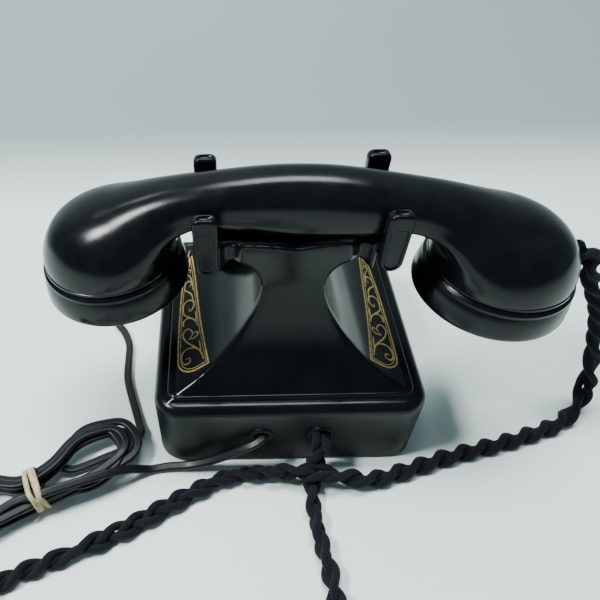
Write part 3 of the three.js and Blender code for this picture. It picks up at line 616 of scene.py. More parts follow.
def distance_along(line):
    """How far along the line each of its points is."""
    return np.concatenate([[0], np.cumsum(np.linalg.norm(np.diff(line, axis=0), axis=1))])


def resample(points, spacing):
    """Even points along the smooth line through the given ones."""
    line = catmull(points, 12)
    run = distance_along(line)
    count = max(int(run[-1] / spacing), 2)
    at = np.linspace(0, run[-1], count + 1)
    return np.stack([np.interp(at, run, line[:, k]) for k in range(3)], 1), run[-1]


def frames(line, first=(0, 0, 1)):
    """Directions along and across a line, carried along it without twist."""
    tangent = np.gradient(line, axis=0)
    tangent /= np.linalg.norm(tangent, axis=1)[:, None]
    across = np.zeros_like(line)
    up = np.array(first, float)
    for i, t in enumerate(tangent):
        up = up - t * np.dot(up, t)
        up /= np.linalg.norm(up)
        across[i] = up
    return tangent, across, np.cross(tangent, across)


def lay_on_table(obj):
    """Lifts any vertex that is lower than the table."""
    for vertex in obj.data.vertices:
        vertex.co.z = max(vertex.co.z, TABLE_GAP * MM)
    smooth_all(obj)


def sweep(name, line, normal, side, section, material, weave=None):
    """Closed tube of one section along a line."""
    rings = []
    for centre, n, s in zip(line, normal, side):
        rings.append([centre + a * n + b * s for a, b in section])
    vertices, faces = loft(rings)
    obj = new_piece(name, vertices, faces, material)
    if weave is not None:
        attribute = obj.data.attributes.new("weave", "FLOAT_VECTOR", "POINT")
        count = len(section)
        rows = np.repeat(np.arange(len(line)), count)
        turn = np.tile(np.arange(count) / count * 2 * math.pi, len(line))
        values = np.stack([turn * weave[0], rows * weave[1], np.zeros(len(rows))], 1)
        attribute.data.foreach_set("vector", values.astype(np.float32).ravel())
    return obj


def join(name, parts):
    """One object from several."""
    work = bmesh.new()
    material = parts[0].data.materials[0]
    for part in parts:
        work.from_mesh(part.data)
        bpy.data.objects.remove(part)
    mesh = bpy.data.meshes.new(name)
    work.to_mesh(mesh)
    work.free()
    mesh.materials.append(material)
    return add(name, mesh)


def make_rope():
    """Three braided strands plaited flat, with the plait itself twisted in places."""
    step = 0.8
    line, length = resample(rope_route(), step)
    tangent, up, side = frames(line)
    # Share of the full twist, by the distance from the handset end.
    twist_rate = np.interp(
        length - np.arange(len(line)) * step,
        [0, 70, 110, 130, 250, 290, 385, 410, 720, 760],
        [0.9, 1.0, 0.35, 1.0, 1.0, 0.08, 0.10, 1.0, 1.0, 0.08],
    )
    half_turn = 12.4
    twist = np.cumsum(twist_rate) * step * math.pi / half_turn
    lying = side * np.cos(twist)[:, None] + up * np.sin(twist)[:, None]
    normal = np.cross(lying, tangent)
    strand_r, spread, rise, period = 1.95, 3.1, 1.7, 37.0
    # Where the plait is twisted, its strands lie side by side and stop crossing.
    tight = np.clip((twist_rate - 0.35) / 0.4, 0, 1)
    plait = np.cumsum(1 - tight) * step * 2 * math.pi / period
    side_by_side = np.round(plait / (math.pi / 3)) * (math.pi / 3)
    plait += tight * (side_by_side - plait)
    plait = np.convolve(np.pad(plait, 8, "edge"), np.ones(17) / 17, "valid")
    rise = rise * (1 - 0.9 * tight)
    # On the table the plait rests on its lowest strand, however it is turned.
    reach = np.hypot((0.87 * spread + strand_r) * np.sin(twist), (rise + strand_r) * np.cos(twist))
    on_table = np.exp(-(((line[:, 2] - ROPE_LIFT) / 4) ** 2))
    line[:, 2] += on_table * np.maximum(reach - ROPE_LIFT, 0) * 0.85
    section = [(strand_r * c, strand_r * s) for c, s in circle(12)]
    strands = []
    for i in range(3):
        phase = plait + i * 2 * math.pi / 3
        centre = line + lying * (spread * np.sin(phase))[:, None]
        centre = centre + normal * (rise * np.sin(2 * phase))[:, None]
        _, a, b = frames(centre)
        strands.append(sweep(f"strand_{i}", centre, a, b, section, BRAID, (8, step * 4.2)))
    rope = join("handset_cord", strands)
    lay_on_table(rope)
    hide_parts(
        "handset_cord_from_case", "handset_cord_coil", "handset_cord_to_handset", "handset_cord_tail"
    )
    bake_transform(rope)


def make_line_cord():
    """Flat twin line cord with a groove along each broad face."""
    step = 1.4
    line, length = resample(line_route(), step)
    _, up, side = frames(line)
    section = []
    for c, s in circle(20):
        wide = LINE_W / 2 * signed(c, 0.75)
        thick = LINE_T / 2 * signed(s, 0.75)
        groove = 1 - 0.22 * math.exp(-((wide / 0.45) ** 2))
        section.append((thick * groove, wide))
    cord = sweep("line_cord", line, up, side, section, CORD_PLASTIC)
    lay_on_table(cord)
    dress(cord, "base", "pvc", "line_cord_from_case", "line_cord_hank", "line_cord_tail")
    make_plug()
    make_tie()


def make_tie():
    """Paper twist wound three times round the hank, with one frayed end."""
    parts = []
    for k, (shift, lean) in enumerate([(-2.1, 1.2), (0.1, -0.8), (2.0, 0.9)]):
        points = []
        for i, (c, s) in enumerate(circle(28)):
            wobble = 0.35 * math.sin(6 * math.pi * i / 28 + 2 * k)
            z = 9.9 + 8.5 * signed(s, 0.55)
            points.append((shift + lean * s * 0.8 + wobble, 9.6 * signed(c, 0.55), z))
        line = catmull(points, 3, closed=True)
        rings = []
        for i, p in enumerate(line):
            ahead = line[(i + 1) % len(line)] - line[i - 1]
            ahead /= np.linalg.norm(ahead)
            along = np.array((1.0, 0, 0))
            out = np.cross(along, ahead)
            ring = []
            for a, b in [(-1.35, -0.3), (-0.7, 0.25), (0, 0.42), (0.7, 0.25), (1.35, -0.3), (0, -0.42)]:
                ring.append(HANK @ Vector(p + a * along - b * out))
            rings.append(ring)
        vertices, faces = loft(rings, closed=True)
        parts.append(new_piece(f"wrap_{k}", vertices, faces, RAFFIA))
    for k in range(5):
        lean = random.uniform(-0.5, 0.5)
        points = [
            (2.4 + 0.3 * k, 9.2, 3.0), (2.9 + 0.2 * k, 10.6, 2.2 + lean),
            (3.8 + 0.5 * k, 11.6 + lean, 1.5 + 0.3 * k),
        ]
        line = np.array([HANK @ Vector(p) for p in catmull(points, 4)])
        _, a, b = frames(line, (0.2, 0.1, 1))
        section = [(0.28 * math.cos(t), 0.28 * math.sin(t)) for t in (0, 1.05, 2.09, 3.14, 4.19, 5.24)]
        parts.append(sweep(f"fray_{k}", line, a, b, section, RAFFIA))
    tie = join("raffia_tie", [fix_normals(part) for part in parts])
    smooth_all(tie)
    return dress(tie, "base", "raffia", "hank_tie")


def make_plug():
    """Small moulded plug with a latch, a ribbed boot and a row of contacts."""
    place = Matrix.Translation((113.7, -71.6, 0)) @ Matrix.Rotation(math.radians(11), 4, "Z")
    body = solid("plug_body", bar(place, 4.9, 3.1, ((-15.6, 3.5), (-0.4, 3.5))))
    round_edges(body, 0.7)
    body.data.materials[0] = CORD_PLASTIC
    boot_rings = []
    for i in range(13):
        y = -0.6 + 9.4 * i / 12
        swell = 1 - 0.34 * i / 12 + (0.08 if i % 2 else 0)
        boot_rings.append([
            place @ Vector((3.6 * swell * c, y, 3.0 + 2.5 * swell * s)) for c, s in circle(16)
        ])
    boot = fix_normals(new_piece("plug_boot", *loft(boot_rings), CORD_PLASTIC))
    latch = solid("plug_latch", bar(place, 1.6, 0.35, ((-14.6, 6.8), (-8, 7.1), (-2.4, 7.3))))
    latch.data.materials[0] = CORD_PLASTIC
    plug = join("plug_moulding", [body, boot, latch])
    shade(plug, 35)
    dress(plug, "base", "pvc", "line_plug")
    for k in range(4):
        at = place @ Matrix.Translation((-2.2 + 1.45 * k, 0, 0))
        contact = solid(f"plug_contact_{k + 1}", bar(at, 0.3, 1.25, ((-15.4, 5.4), (-11.6, 5.4))))
        contact.data.materials[0] = BRASS
        dress(contact, "base", "brass")
    return plug


make_rope()
make_line_cord()


# ---------- case ----------
SIDE_SCOOP = [
    (55.2, PLINTH_TOP), (46, 52.5), (37, 58.6), (30.5, 65), (25, 71.5), (20.4, 78.5), (17, 85),
    (15, 91), (14.2, 96.5), (14.8, 101), (17, 105.6), (20.4, 109.2), (24.0, 110.5), (28.0, 109.2),
    (YOKE_END + 1.4, 104.8),
]
YOKE_HUMPS = [(YOKE_END + 1.4, 120.6), (24, 122.1), (16.5, 122.2), (8, 121.1), (0, 119.6)]
REAR_FACE = [
    (54.6, PLINTH_TOP), (50, 52.6), (45.4, 58.6), (40.4, 67.5), (36.2, 78), (33, 90), (31.6, 100),
    (32, 110),
]
SLOPE_Z = 75.0 + 27.5


def skirt():
    """Skirt with a rounded upper edge, and a fine groove round the foot of the low plinth."""
    outline = [(0.5, SKIRT_FOOT), (0, SKIRT_FOOT + 0.8)]
    outline += [(inset, SKIRT_TOP - drop) for inset, drop in quarter(SKIRT_ROUND, 10)]
    step = PLINTH_INSET
    outline += [(step - 0.9, SKIRT_TOP), (step - 0.5, SKIRT_TOP - 0.35), (step, SKIRT_TOP)]
    outline += [(step + inset, PLINTH_TOP - drop) for inset, drop in quarter(1.3, 6)]
    rings = [rounded_ring(BASE_W - 2 * i, BASE_D - 2 * i, CORNER_R - i, z) for i, z in outline]
    return solid("case_shell", loft(rings))


def neck():
    """Pinched neck and yoke: a side outline and a front-to-back outline cut each other."""
    side = [(61.5, 41), (61.5, 44.6)] + [tuple(p) for p in catmull(SIDE_SCOOP, 7)]
    side += [tuple(p) for p in catmull(YOKE_HUMPS, 6)]
    outline = [(CASE_X + x, z) for x, z in side] + [(CASE_X - x, z) for x, z in side[::-1][1:]]
    foot = SLOPE_Z - 44.5
    profile = [(59.5, 41), (59.5, 44.2)] + [tuple(p) for p in catmull(REAR_FACE, 7)]
    profile += [(NECK_BACK, 118), (NECK_BACK, 130), (0, 130), (0, SLOPE_Z), (-foot, 44.5), (-foot, 41)]
    shape = solid("neck", prism_y(outline, -80, 80))
    return combine(shape, solid("profile", prism_x(profile, -80, 90)), "INTERSECT")


def hollow():
    """The room inside the case."""
    width, depth, corner = BASE_W - 2 * WALL, BASE_D - 2 * WALL, CORNER_R - WALL
    room = solid("room", loft([rounded_ring(width, depth, corner, z, 4) for z in (-1, SKIRT_TOP - WALL)]))
    side = [(50, 40), (50, 46), (33.5, 57), (21.6, 70), (13.4, 84.5), (11, 96), (11, 109)]
    outline = [(CASE_X + x, z) for x, z in side] + [(CASE_X - x, z) for x, z in side[::-1]]
    slope = SLOPE_Z - WALL * math.sqrt(2)
    profile = [(50.6, 40), (50.6, 46.5), (42, 57.4), (33, 77.5), (28.6, 99), (28.6, 109), (WALL, 109)]
    profile += [(WALL, slope + WALL), (-50, slope - 50), (-50, 40)]
    shaft = solid("shaft", prism_y(outline, -80, 80))
    shaft = combine(shaft, solid("profile", prism_x(profile, -80, 90)), "INTERSECT")
    room = combine(room, shaft, "UNION")
    return cut(room, solid("drum_keep", rod(DRUM_R, DRUM_BACK, DRUM_RIM, DIAL)))


def across_y(x, z):
    """Frame whose own Z runs along the part's Y."""
    return Matrix.Translation((x, 0, z)) @ Matrix.Rotation(math.radians(-90), 4, "X")


def arm_cutter(sx, sy):
    """Waists the yoke between its body and a fork, through a soft S in plan."""
    points = []
    for t in np.linspace(0, 1, 19):
        inset = 5.0 * math.sin(math.pi * t) ** 1.5
        points.append((CASE_X + sx * (21.8 + 12.4 * t), CRADLE_Y + sy * (16.55 - inset)))
    points += [(points[-1][0], CRADLE_Y + sy * 40), (points[0][0], CRADLE_Y + sy * 40)]
    return solid("arm", loft([[(x, y, z) for x, y in points] for z in (100, 140)]))


def make_case():
    """The pressed shell: neck, yoke and dial drum on the skirt, hollow inside."""
    edge = [(15.6, 127), (14.7, 122.6), (14.0, 121.0), (12.4, 119.6), (8, 118.4), (0, 118.0)]
    trough = [(CRADLE_Y + y, z) for y, z in edge] + [(CRADLE_Y - y, z) for y, z in edge[::-1][1:]]
    trough = solid("trough", prism_x(trough, -60, 70))
    arms = [arm_cutter(sx, sy) for sx in (-1, 1) for sy in (-1, 1)]
    top = cut(neck(), trough, *arms)
    soften(top, 0.75, 26)
    top = combine(top, solid("drum", rod(DRUM_R, DRUM_BACK, DRUM_RIM, DIAL, 120)), "UNION")
    cut(
        top,
        hollow(),
        solid("pocket", rod(POCKET_R, DRUM_BACK + WALL, DRUM_RIM + 5, DIAL, 120)),
        solid("well", rod(8.2, 113.5, 130, PLUNGER_LINE, 48)),
        solid("bore", rod(3, 100, 130, PLUNGER_LINE, 32)),
    )
    case = cut(
        skirt(),
        hollow(),
        solid("line_hole", rod(4.5, 40, 80, across_y(LINE_HOLE_X, CORD_HOLE_Z), 40)),
        solid("rope_hole", rod(5.4, 40, 80, across_y(ROPE_HOLE_X, CORD_HOLE_Z), 40)),
    )
    case = combine(case, top, "UNION")
    return dress(shade(case), "base", "enamel", "housing")


CASE = make_case()


# ---------- cradle forks ----------
FORK_W, FORK_FOOT, FORK_TOP, PAD_TOP = 10.0, 112.5, 141.3, 120.8
PRONG_IN, PRONG_OUT = 18.2, 23.9


def tongue_outline(shrink=0.0, top=FORK_TOP):
    """Outline of a prong seen from the rear: round foot, outer side leaning outwards."""
    half = FORK_W / 2 - 0.2
    corner = 2.9
    points = []
    for angle in np.linspace(math.pi, 2 * math.pi, 25):
        reach = half - shrink
        points.append((-0.2 + reach * math.cos(angle), FORK_FOOT + half + reach * math.sin(angle)))
    for x, start in ((FORK_W / 2 + 0.2 - corner, 0), (corner - FORK_W / 2, math.pi / 2)):
        for angle in np.linspace(start, start + math.pi / 2, 9):
            reach = corner - shrink
            points.append((x + reach * math.cos(angle), top - corner + reach * math.sin(angle)))
    return points


def make_prong(middle, sy):
    """Rounded slab with an inset panel on its outer face."""
    soft = 1.5
    edge = quarter(soft, 7)
    rows = [(2.0, 5.6, PRONG_OUT - 0.85), (1.75, 5.2, PRONG_OUT - 0.15)]
    rows += [(shrink, 0, PRONG_OUT - depth) for shrink, depth in edge[::-1]]
    rows += [(shrink, 0, PRONG_IN + depth) for shrink, depth in edge]
    rings = []
    for shrink, drop, y in rows:
        outline = tongue_outline(shrink, FORK_TOP - drop)
        rings.append([(middle + x, CRADLE_Y + sy * y, z) for x, z in outline])
    prong = solid("prong", loft(rings))
    tip = Matrix.Translation((middle + 0.2, CRADLE_Y + sy * (PRONG_IN + PRONG_OUT) / 2, FORK_TOP + 0.5))
    bowl = [(1.8 * math.sin(a), -1.8 * math.cos(a)) for a in np.linspace(0, math.pi, 13)]
    dish = solid("dish", lathe(bowl, 32, tip @ Matrix.Diagonal((2.1, 0.95, 1, 1))))
    return cut(prong, dish)


def make_fork():
    """U-shaped fork: two rounded prongs on a saddle that the handle lies over."""
    middle = CASE_X + YOKE_END + 0.3 + FORK_W / 2
    half = [
        (PRONG_OUT - 2.8, FORK_FOOT + 0.5), (PRONG_OUT - 2.8, PAD_TOP + 6), (PRONG_IN + 0.6, PAD_TOP + 6),
        (PRONG_IN - 0.2, PAD_TOP + 3.4), (PRONG_IN - 2.2, PAD_TOP + 0.9), (12, PAD_TOP),
    ]
    side = [(CRADLE_Y + y, z) for y, z in half] + [(CRADLE_Y - y, z) for y, z in half[::-1]]
    tongue = [(middle + x, z) for x, z in tongue_outline(0.4)]
    fork = solid("fork_left", prism_x(side, middle - 8, middle + 8))
    fork = combine(fork, solid("tongue", prism_y(tongue, -40, 70)), "INTERSECT")
    for sy in (-1, 1):
        fork = combine(fork, make_prong(middle, sy), "UNION")
    soften(fork, 0.28, 6)
    twin = add("fork_right", fork.data.copy())
    for vertex in twin.data.vertices:
        vertex.co.x = 2 * CASE_X * MM - vertex.co.x
    twin.data.flip_normals()
    dress(fork, "base", "enamel", "cradle_fork_left")
    dress(twin, "base", "enamel", "cradle_fork_right")


make_fork()


def make_plunger():
    """Stepped plunger with a domed button under the handle."""
    profile = [(0, 87.3), (2.5, 87.3), (2.5, 115.4), (4.6, 115.4), (5, 115.9), (5, 117.3)]
    profile += [(5 - 1.7 * (1 - math.cos(a)), 117.3 + 1.5 * math.sin(a)) for a in np.linspace(0.3, 1.57, 5)]
    profile += [(0, 119.05)]
    plunger = turned("plunger_button", profile, 48, PLUNGER_LINE, BAKELITE)
    return dress(plunger, "plunger", "steel", "plunger")


make_plunger()


def make_eyelet(name, x, bore, neck_r, flange_r, node):
    """Rolled bush that lines a cord hole."""
    wall = 63.1
    profile = [(bore, wall - 3.8), (neck_r, wall - 3.8), (neck_r, wall), (flange_r, wall)]
    profile += [(flange_r - 0.2, wall + 0.7), (flange_r - 0.9, wall + 1.25)]
    profile += [(bore + 0.7, wall + 1.3), (bore, wall + 0.5), (bore, wall - 3.8)]
    bush = turned(name, profile, 64, across_y(x, CORD_HOLE_Z), ENAMEL)
    return dress(bush, "base", "bakelite", node)


make_eyelet("line_cord_bush", LINE_HOLE_X, 3.0, 4.2, 5.6, "line_cord_eyelet")
make_eyelet("handset_cord_ring", ROPE_HOLE_X, 4.5, 5.1, 6.2, "handset_cord_eyelet")


# ---------- handset ----------
# Each section: inner x and z, outer x and z, half width, bend of the inner side.
SECTIONS = [
    (55.8, 103.7, 117.6, 99.9, SEAM_R, 2), (56.1, 106.2, 117.6, 105.5, 30.9, 2.05),
    (56.2, 109.5, 115.6, 111.8, 30.2, 2.15), (56, 112.8, 111.9, 117.6, 28.6, 2.3),
    (55.2, 115.9, 106.6, 122.2, 26.2, 2.5), (53.8, 118.6, 100.2, 126, 23.4, 2.7),
    (51.9, 120.8, 93, 129, 20.8, 2.9), (49.6, 122.3, 85, 131.5, 18.5, 3.1),
    (47, 123.3, 77, 134.1, 16.6, 3.3), (44.2, 123.8, 68.5, 136.7, 15.2, 3.3),
    (41, 123.9, 60, 139, 14.2, 3.3), (37, 123.6, 50.5, 141.1, 13.6, 3.3),
    (32, 122.4, 41, 142.9, 13.3, 3.3), (26, 121.3, 31, 144.6, 13.4, 3.3),
    (19.5, 120.4, 21.5, 146, 13.6, 3.3), (10, 119.7, 10.5, 147.1, 13.8, 3.3),
    (0, 119.5, 0, 147.4, 13.9, 3.3),
]


def shell_ring(section, count=72):
    """Ring of a fan of cross-sections, fuller below, where the two lower arrises run."""
    x0, z0, x1, z1, half, bend, waist = section
    ring = []
    for c, s in circle(count):
        power = 2 / (2 + 0.15 * min(1, (bend - 2) * 2) if s > 0 else bend)
        along = waist + (1 - waist if s > 0 else waist) * signed(s, power)
        ring.append((x0 + (x1 - x0) * along, half * signed(c, power), z0 + (z1 - z0) * along))
    return ring


def make_handset_shell():
    """Bent handle that swells into a bell over each cap."""
    waists = [0.5, 0.46] + [0.44] * (len(SECTIONS) - 2)
    table = [(*section, waist) for section, waist in zip(SECTIONS, waists)]
    flipped = [(-s[0], s[1], -s[2], *s[3:]) for s in table[:-1]]
    whole = catmull(flipped + table[::-1], 5)
    rings = [[HANDSET @ Vector(p) for p in shell_ring(section)] for section in whole]
    shell = shade(fix_normals(new_piece("handset_body", *loft(rings), BAKELITE)), 50)
    return dress(shell, "handset", "bakelite", "handset_shell")


def end_frame(sx):
    return HANDSET @ Matrix.Translation((sx * CAP_X, 0, SEAM_Z)) @ Matrix.Rotation(sx * CAP_TILT, 4, "Y")


def make_collar(name, sx):
    """Seat of a cap: the shell's turned lip above the dark groove, and the threaded neck."""
    profile = [(0, 2.2), (SEAM_R - 1.2, 2.2), (SEAM_R + 0.15, 1.5), (SEAM_R + 0.3, 0.6)]
    profile += [(SEAM_R - 0.1, 0.05), (NECK_R + 0.2, 0)]
    for k in range(4):
        profile += [(NECK_R - 0.1, -1.0 - 1.5 * k), (NECK_R - 0.9, -1.7 - 1.5 * k)]
    profile += [(NECK_R - 0.1, -7), (0, -7)]
    return dress(turned(name, profile, 128, end_frame(sx), BAKELITE), "handset", "bakelite")


def make_cap(name, sx, node, rings):
    """Screw-on cap with a bead at its rim, flared skirt and sound holes in a dished face."""
    low = -CAP_T
    profile = [(0, low + 1.4), (12, low + 1.3), (20, low + 0.9), (27, low + 0.15), (30.2, low + 0.0)]
    profile += [(31.6, low + 0.15), (33.0, low + 0.75), (33.9, low + 1.8), (34.2, low + 3.2)]
    profile += [(33.95, -11), (33.55, -8.0), (32.9, -5.4), (32.1, -3.75), (32.0, -3.3)]
    profile += [
        (32.0 + 0.55 * math.sin(a), -2.15 - 1.05 * math.cos(a)) for a in np.linspace(0.3, math.pi - 0.2, 7)
    ]
    profile += [(31.7, -0.85), (31.2, -0.4), (30.2, -0.35)]
    profile += [(NECK_R + 0.5, -0.4), (NECK_R + 0.4, -13.0), (0, -13.0)]
    place = end_frame(sx)
    cap = fix_normals(new_piece(name, *lathe(profile, 144, place), BAKELITE, smooth=False))
    for count, at, radius in rings:
        sink = [(radius + 0.9, low - 1), (radius + 0.35, low + 1.1), (radius, low + 1.6)]
        drill = [(0, low - 1), *sink, (radius, low + 5), (0, low + 5)]
        for c, s in circle(count, math.pi / count):
            spot = place @ Matrix.Translation((at * c, at * s, 0))
            cut(cap, solid("drill", lathe(drill, 20, spot)))
    shade(cap, 35)
    return dress(cap, "handset", "bakelite", node)


make_handset_shell()
make_collar("receiver_collar", 1)
make_collar("transmitter_collar", -1)
make_cap("receiver_end_cap", 1, "receiver_cap", [(1, 0, 2.2), (6, 8, 2.2)])
make_cap("transmitter_end_cap", -1, "transmitter_cap", [(1, 0, 2.2), (6, 8, 2.2), (12, 15.5, 2.2)])


# ---------- dial ----------
FINGER_SPOTS = [(HOLE_CENTRE_R * c, HOLE_CENTRE_R * s) for c, s in circle(12, math.radians(35))[:10]]


def make_number_plate():
    """Cream plate with ten printed digits."""
    rim = POCKET_R - 0.35
    profile = [(3.6, 3.9), (rim, 3.9), (rim, 4.8), (POCKET_R - 0.7, 5.1), (34.9, 5.2)]
    profile += [(34.6, 5.0), (12, 5.0), (3.6, 5.0), (3.6, 3.9)]
    plate = turned("number_ring", profile, 128, DIAL, PLATE_WHITE)
    dress(plate, "base", "plate_white", "number_plate")
    for k, (x, y) in enumerate(FINGER_SPOTS):
        curve = bpy.data.curves.new(f"digit_{(k + 1) % 10}", "FONT")
        curve.body = str((k + 1) % 10)
        curve.size = 7.6 * MM
        curve.extrude = 0.05 * MM
        curve.align_x = "CENTER"
        curve.align_y = "CENTER"
        text = add(curve.name, curve)
        graph = bpy.context.evaluated_depsgraph_get()
        mesh = bpy.data.meshes.new_from_object(text.evaluated_get(graph))
        bpy.data.objects.remove(text)
        spot = Matrix.Translation((x, y, 5.05))
        mesh.transform(Matrix.Scale(MM, 4) @ DIAL @ spot @ Matrix.Scale(1 / MM, 4))
        mesh.materials.clear()
        mesh.materials.append(INK)
        dress(add(curve.name, mesh), "base", "plate_white")


def make_finger_wheel():
    """Pressed wheel with a rolled rim, ten finger holes and a raised middle."""
    profile = [(3.2, 6.4), (WHEEL_R - 0.6, 6.4), (WHEEL_R, 6.9), (WHEEL_R, 7.6), (WHEEL_R - 0.7, 8.2)]
    profile += [(WHEEL_R - 1.6, 8.2), (WHEEL_R - 2.0, 7.9), (18.2, 7.9), (17.2, 8.3), (3.2, 8.3)]
    profile += [(3.2, 6.4)]
    wheel = fix_normals(new_piece("dial_finger_wheel", *lathe(profile, 160, DIAL), NICKEL, smooth=False))
    rolled = [(6.3, 6.5), (HOLE_R, 6.9), (HOLE_R, 7.4), (6.2, 7.85), (6.6, 8.05)]
    hole = [(0, 5), (6.3, 5), *rolled, (6.6, 10), (0, 10)]
    for x, y in FINGER_SPOTS:
        cut(wheel, solid("finger_hole", lathe(hole, 48, DIAL @ Matrix.Translation((x, y, 0)))))
    shade(wheel, 35)
    dress(wheel, "dial_wheel", "nickel", "finger_wheel")


def make_centre():
    """Domed metal ring that holds a plain card."""
    ring = [(15.3, 8.45), (16.6, 8.45), (16.6, 8.8), (16.1, 9.6), (15.3, 10.1), (14.5, 10.2)]
    ring += [(13.7, 9.9), (13.4, 9.5), (15.0, 9.3), (15.3, 8.45)]
    dress(turned("card_ring", ring, 96, DIAL, NICKEL), "dial_wheel", "nickel")
    card = [(0, 8.5), (14.9, 8.5), (14.9, 9.1), (13.3, 9.4), (12.0, 9.5), (0, 9.55)]
    disc = turned("card_disc", card, 72, DIAL, PLATE_WHITE)
    dress(disc, "dial_wheel", "plate_white", "centre_card")
    for k, radius in enumerate((11.4, 5.2)):
        line = [(radius, 9.5), (radius + 0.45, 9.5), (radius + 0.45, 9.6), (radius, 9.6), (radius, 9.5)]
        printed = new_piece(f"card_line_{k + 1}", *lathe(line, 64, DIAL), INK)
        dress(fix_normals(printed), "dial_wheel", "plate_white")


def make_finger_stop():
    """Bent nickel hook that comes over the wheel from its foot outside it."""
    turn = DIAL @ Matrix.Rotation(math.radians(-35), 4, "Z")
    bends = [(36.0, 0, 5.6), (36.3, 0, 8.6), (35.6, 0, 10.7), (33.6, 0, 11.6)]
    route = catmull([*bends, (30.4, 0.2, 11.4), (27.2, 0.4, 10.6)], 5)
    rings = []
    for i, p in enumerate(route):
        ahead = route[min(i + 1, len(route) - 1)] - route[max(i - 1, 0)]
        ahead /= np.linalg.norm(ahead)
        out = np.cross(ahead, (0, 1, 0))
        wide = np.array((0, 3.6 - 1.5 * i / len(route), 0))
        rings.append([turn @ Vector(p + wide * signed(c, 0.8) + out * 0.75 * s) for c, s in circle(16)])
    hook = fix_normals(new_piece("finger_hook", *loft(rings), NICKEL))
    dress(shade(hook, 50), "base", "nickel", "finger_stop")


make_number_plate()
make_finger_wheel()
make_centre()
make_finger_stop()

# ---------- gilt ornament on the side scoops ----------
SCOOP_LINE = catmull(SIDE_SCOOP[:9], 24)
SCOOP_RUN = distance_along(SCOOP_LINE)
CASE_SKIN = BVHTree.FromObject(CASE, bpy.context.evaluated_depsgraph_get())


def on_scoop(u, y, side, lift):
    """Point on a scoop, u millimetres up it from its foot, raised off it by lift."""
    x = np.interp(u, SCOOP_RUN, SCOOP_LINE[:, 0])
    z = np.interp(u, SCOOP_RUN, SCOOP_LINE[:, 1])
    guess = Vector((CASE_X + side * x, y, z)) * MM
    spot, normal, _, _ = CASE_SKIN.find_nearest(guess)
    return (spot + normal * lift * MM) / MM


def ribbon(points, side, width, taper=True):
    """Thin gilt line through (u, y) points, thinner at its ends if it tapers."""
    line = catmull(points, 8)
    rings = []
    for i, p in enumerate(line):
        ahead = line[min(i + 1, len(line) - 1)] - line[max(i - 1, 0)]
        ahead /= np.linalg.norm(ahead) + 1e-9
        across = np.array((-ahead[1], ahead[0]))
        t = min(max(i / (len(line) - 1), 0.02), 0.98)
        half = width / 2 * (0.35 + 0.65 * math.sin(math.pi * t) ** 0.6 if taper else 1)
        low, high = p - across * half, p + across * half
        rings.append([
            on_scoop(*low, side, -0.08), on_scoop(*high, side, -0.08),
            on_scoop(*high, side, 0.07), on_scoop(*low, side, 0.07),
        ])
    return fix_normals(new_piece("line", *loft(rings), GILT, smooth=False))


FRAME_LEFT = [
    (1.0, 34), (0.75, 26), (0.7, 14), (0.9, 2), (1.3, -10), (2.1, -22), (3.2, -33), (4.3, -41),
    (5.6, -46.5),
]
FRAME_RIGHT = [(7.0, -41), (8.6, -31), (10.2, -18), (11.8, -3), (13.7, 12), (16.2, 27), (19.0, 42.2)]
FRAME_FOOT = [(19.0, 42.2), (15.0, 42.6), (11.0, 43.1), (7.0, 42.7), (3.6, 40.7), (1.6, 37.6), (1.0, 34)]
SCROLLS = [
    [(16.1, 38.6), (14.4, 33.4), (11.4, 29.8), (7.6, 28.4), (4.4, 29.2), (3.0, 32.0), (3.3, 35.4),
     (5.0, 37.6), (7.3, 37.5), (8.2, 36.0), (7.2, 34.4), (5.4, 34.8)],
    [(16.1, 38.6), (13.6, 32.4), (10.2, 28.2), (7.0, 25.2), (4.3, 21.6), (3.3, 18.2), (4.4, 15.6),
     (6.8, 15.4), (9.0, 18.4), (8.4, 20.8), (7.0, 22.4)],
    [(7.2, 22.5), (9.4, 22.6), (11.6, 21.8), (12.4, 20.2), (11.2, 19.0), (9.4, 19.6)],
    [(14.3, 33.5), (13.9, 29.5), (13.2, 25.8)],
    [(11.9, 15.0), (10.6, 11.2), (7.4, 7.8), (4.4, 5.2), (2.6, 2.8)],
    [(9.0, 8.9), (6.0, 7.6), (3.8, 8.4), (3.1, 10.6), (3.6, 12.6)],
    [(3.4, 3.6), (2.7, -0.6), (3.6, -4.2), (6.2, -5.4), (8.8, -3.6), (9.4, -0.4), (8.2, 2.2),
     (6.6, 2.6), (6.4, 0.4)],
    [(11.2, 12.8), (11.0, 8.4), (10.4, 4.6)],
    [(8.8, -3.8), (7.8, -9.0), (5.2, -12.4), (3.2, -14.4)],
    [(3.4, -13.6), (3.2, -17.4), (4.6, -20.2), (6.8, -19.8), (7.4, -17.4), (6.0, -15.8)],
    [(8.6, -12.0), (7.8, -18.6), (6.4, -23.6), (4.6, -26.4)],
    [(4.6, -26.2), (5.2, -29.8), (6.6, -29.0), (6.4, -26.6)],
    [(5.6, -31.5), (5.8, -36.0), (5.6, -40.0)],
]


def inward(points, amount):
    """The same line, drawn in towards the panel's middle line."""
    moved = []
    for u, y in points:
        middle = 5.6 + 0.05 * (y + 46)
        moved.append((u + amount * math.copysign(1, middle - u), y - (amount if y > 40 else 0)))
    return moved


def make_ornament(name, side):
    """A double line round the panel, and scrolls inside it."""
    broad, fine = 0.85, 0.4
    inner = [inward(outline, 1.35) for outline in (FRAME_LEFT[:-1], FRAME_RIGHT)]
    inner.append([(u * 0.86 + 1.4, y - 1.5) for u, y in FRAME_FOOT])
    parts = [ribbon(line, side, broad, taper=False) for line in (FRAME_LEFT, FRAME_RIGHT, FRAME_FOOT)]
    parts += [ribbon(line, side, fine, taper=False) for line in inner]
    parts += [ribbon(scroll, side, broad) for scroll in SCROLLS]
    dress(join(name, parts), "base", "brass")


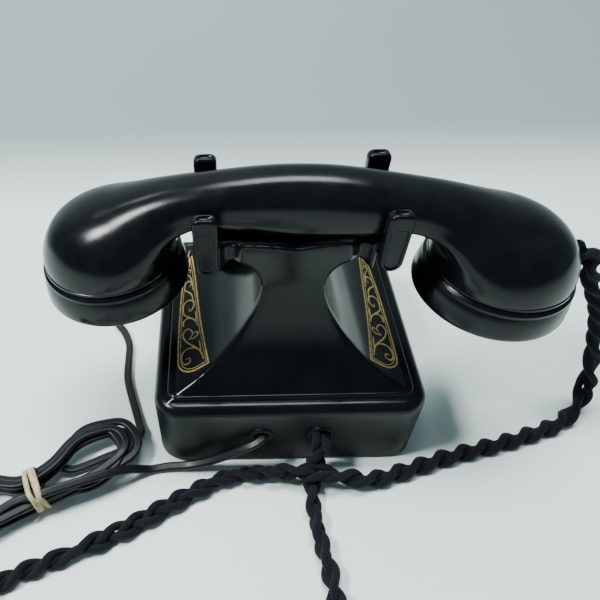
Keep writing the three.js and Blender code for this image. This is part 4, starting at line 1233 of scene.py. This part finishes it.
make_ornament("ornament_left", 1)
make_ornament("ornament_right", -1)

# ---------- finish of the frame's own parts ----------
for node, obj in frame["nodes"].items():
    slot = next(row["material_slot"] for row in frame["record"]["subparts"] if row["node"] == node)
    obj.data.materials.clear()
    obj.data.materials.append(SLOT_LOOKS[slot])


# ---------- stage ----------
def make_stage():
    """Pale table that curves up into a wall beyond the phone; the wall's colour is darkened as painted
    shade.
    """
    look = Look("backdrop", Roughness=0.55)
    wall_shade_fade = look.between(look.place("Y"), -0.28, -0.13)
    wall_shade_fade.interpolation_type = "SMOOTHSTEP"
    mix = look.nodes.new("ShaderNodeMix")
    mix.data_type = "RGBA"
    factor, painted_wall_shade, near = mix.inputs[0], mix.inputs[6], mix.inputs[7]
    # Painted shade: the wall is the same sheet as the table, coloured darker.
    painted_wall_shade.default_value = (0.285, 0.34, 0.345, 1)
    look.link(wall_shade_fade.outputs["Result"], factor)
    look.link(look.ramp(look.noise(2.2, 3.0), (0.80, 0.935, 0.89), (0.84, 0.97, 0.925)), near)
    look.feed("Base Color", mix.outputs[2])
    curve = np.linspace(0, math.pi / 2, 24)
    rows = [(2600, 0)] + [(-330 - 420 * math.sin(a), 420 * (1 - math.cos(a))) for a in curve]
    rows += [(-750, 2600)]
    vertices, faces = [], []
    for i, (y, z) in enumerate(rows):
        vertices += [(-2600, y, z - 0.05), (2600, y, z - 0.05)]
        if i:
            faces.append((2 * i - 2, 2 * i - 1, 2 * i + 1, 2 * i))
    new_piece("table_and_wall", vertices, faces, look.material)


def make_light(name, place, aim, energy, size, colour):
    """Rectangular lamp that faces its aim."""
    data = bpy.data.lights.new(name, "AREA")
    data.energy = energy
    data.color = colour
    data.shape = "RECTANGLE"
    data.size, data.size_y = size
    light = add(name, data)
    light.location = place
    light.rotation_euler = (Vector(aim) - Vector(place)).to_track_quat("-Z", "Y").to_euler()


def make_lights():
    """A small lamp at the side, a low strip in front, a broad light above, and a faint sky."""
    daylight = (0.93, 1.0, 0.99)
    make_light("lamp", (0.80, 0.16, 1.15), (0, 0, 0.05), 20, (0.24, 0.24), (0.96, 1.0, 0.98))
    make_light("window", (0.3, -1.0, 1.25), (0, 0, 0.05), 34, (1.5, 0.35), daylight)
    make_light("room", (0.0, -0.5, 2.2), (0, 0.3, 0), 68, (1.3, 0.7), daylight)
    world = bpy.data.worlds.new("room")
    world.use_nodes = True
    background = world.node_tree.nodes["Background"]
    background.inputs["Color"].default_value = (0.66, 0.83, 0.95, 1)
    background.inputs["Strength"].default_value = 0.2
    SCENE.world = world


make_stage()
make_lights()
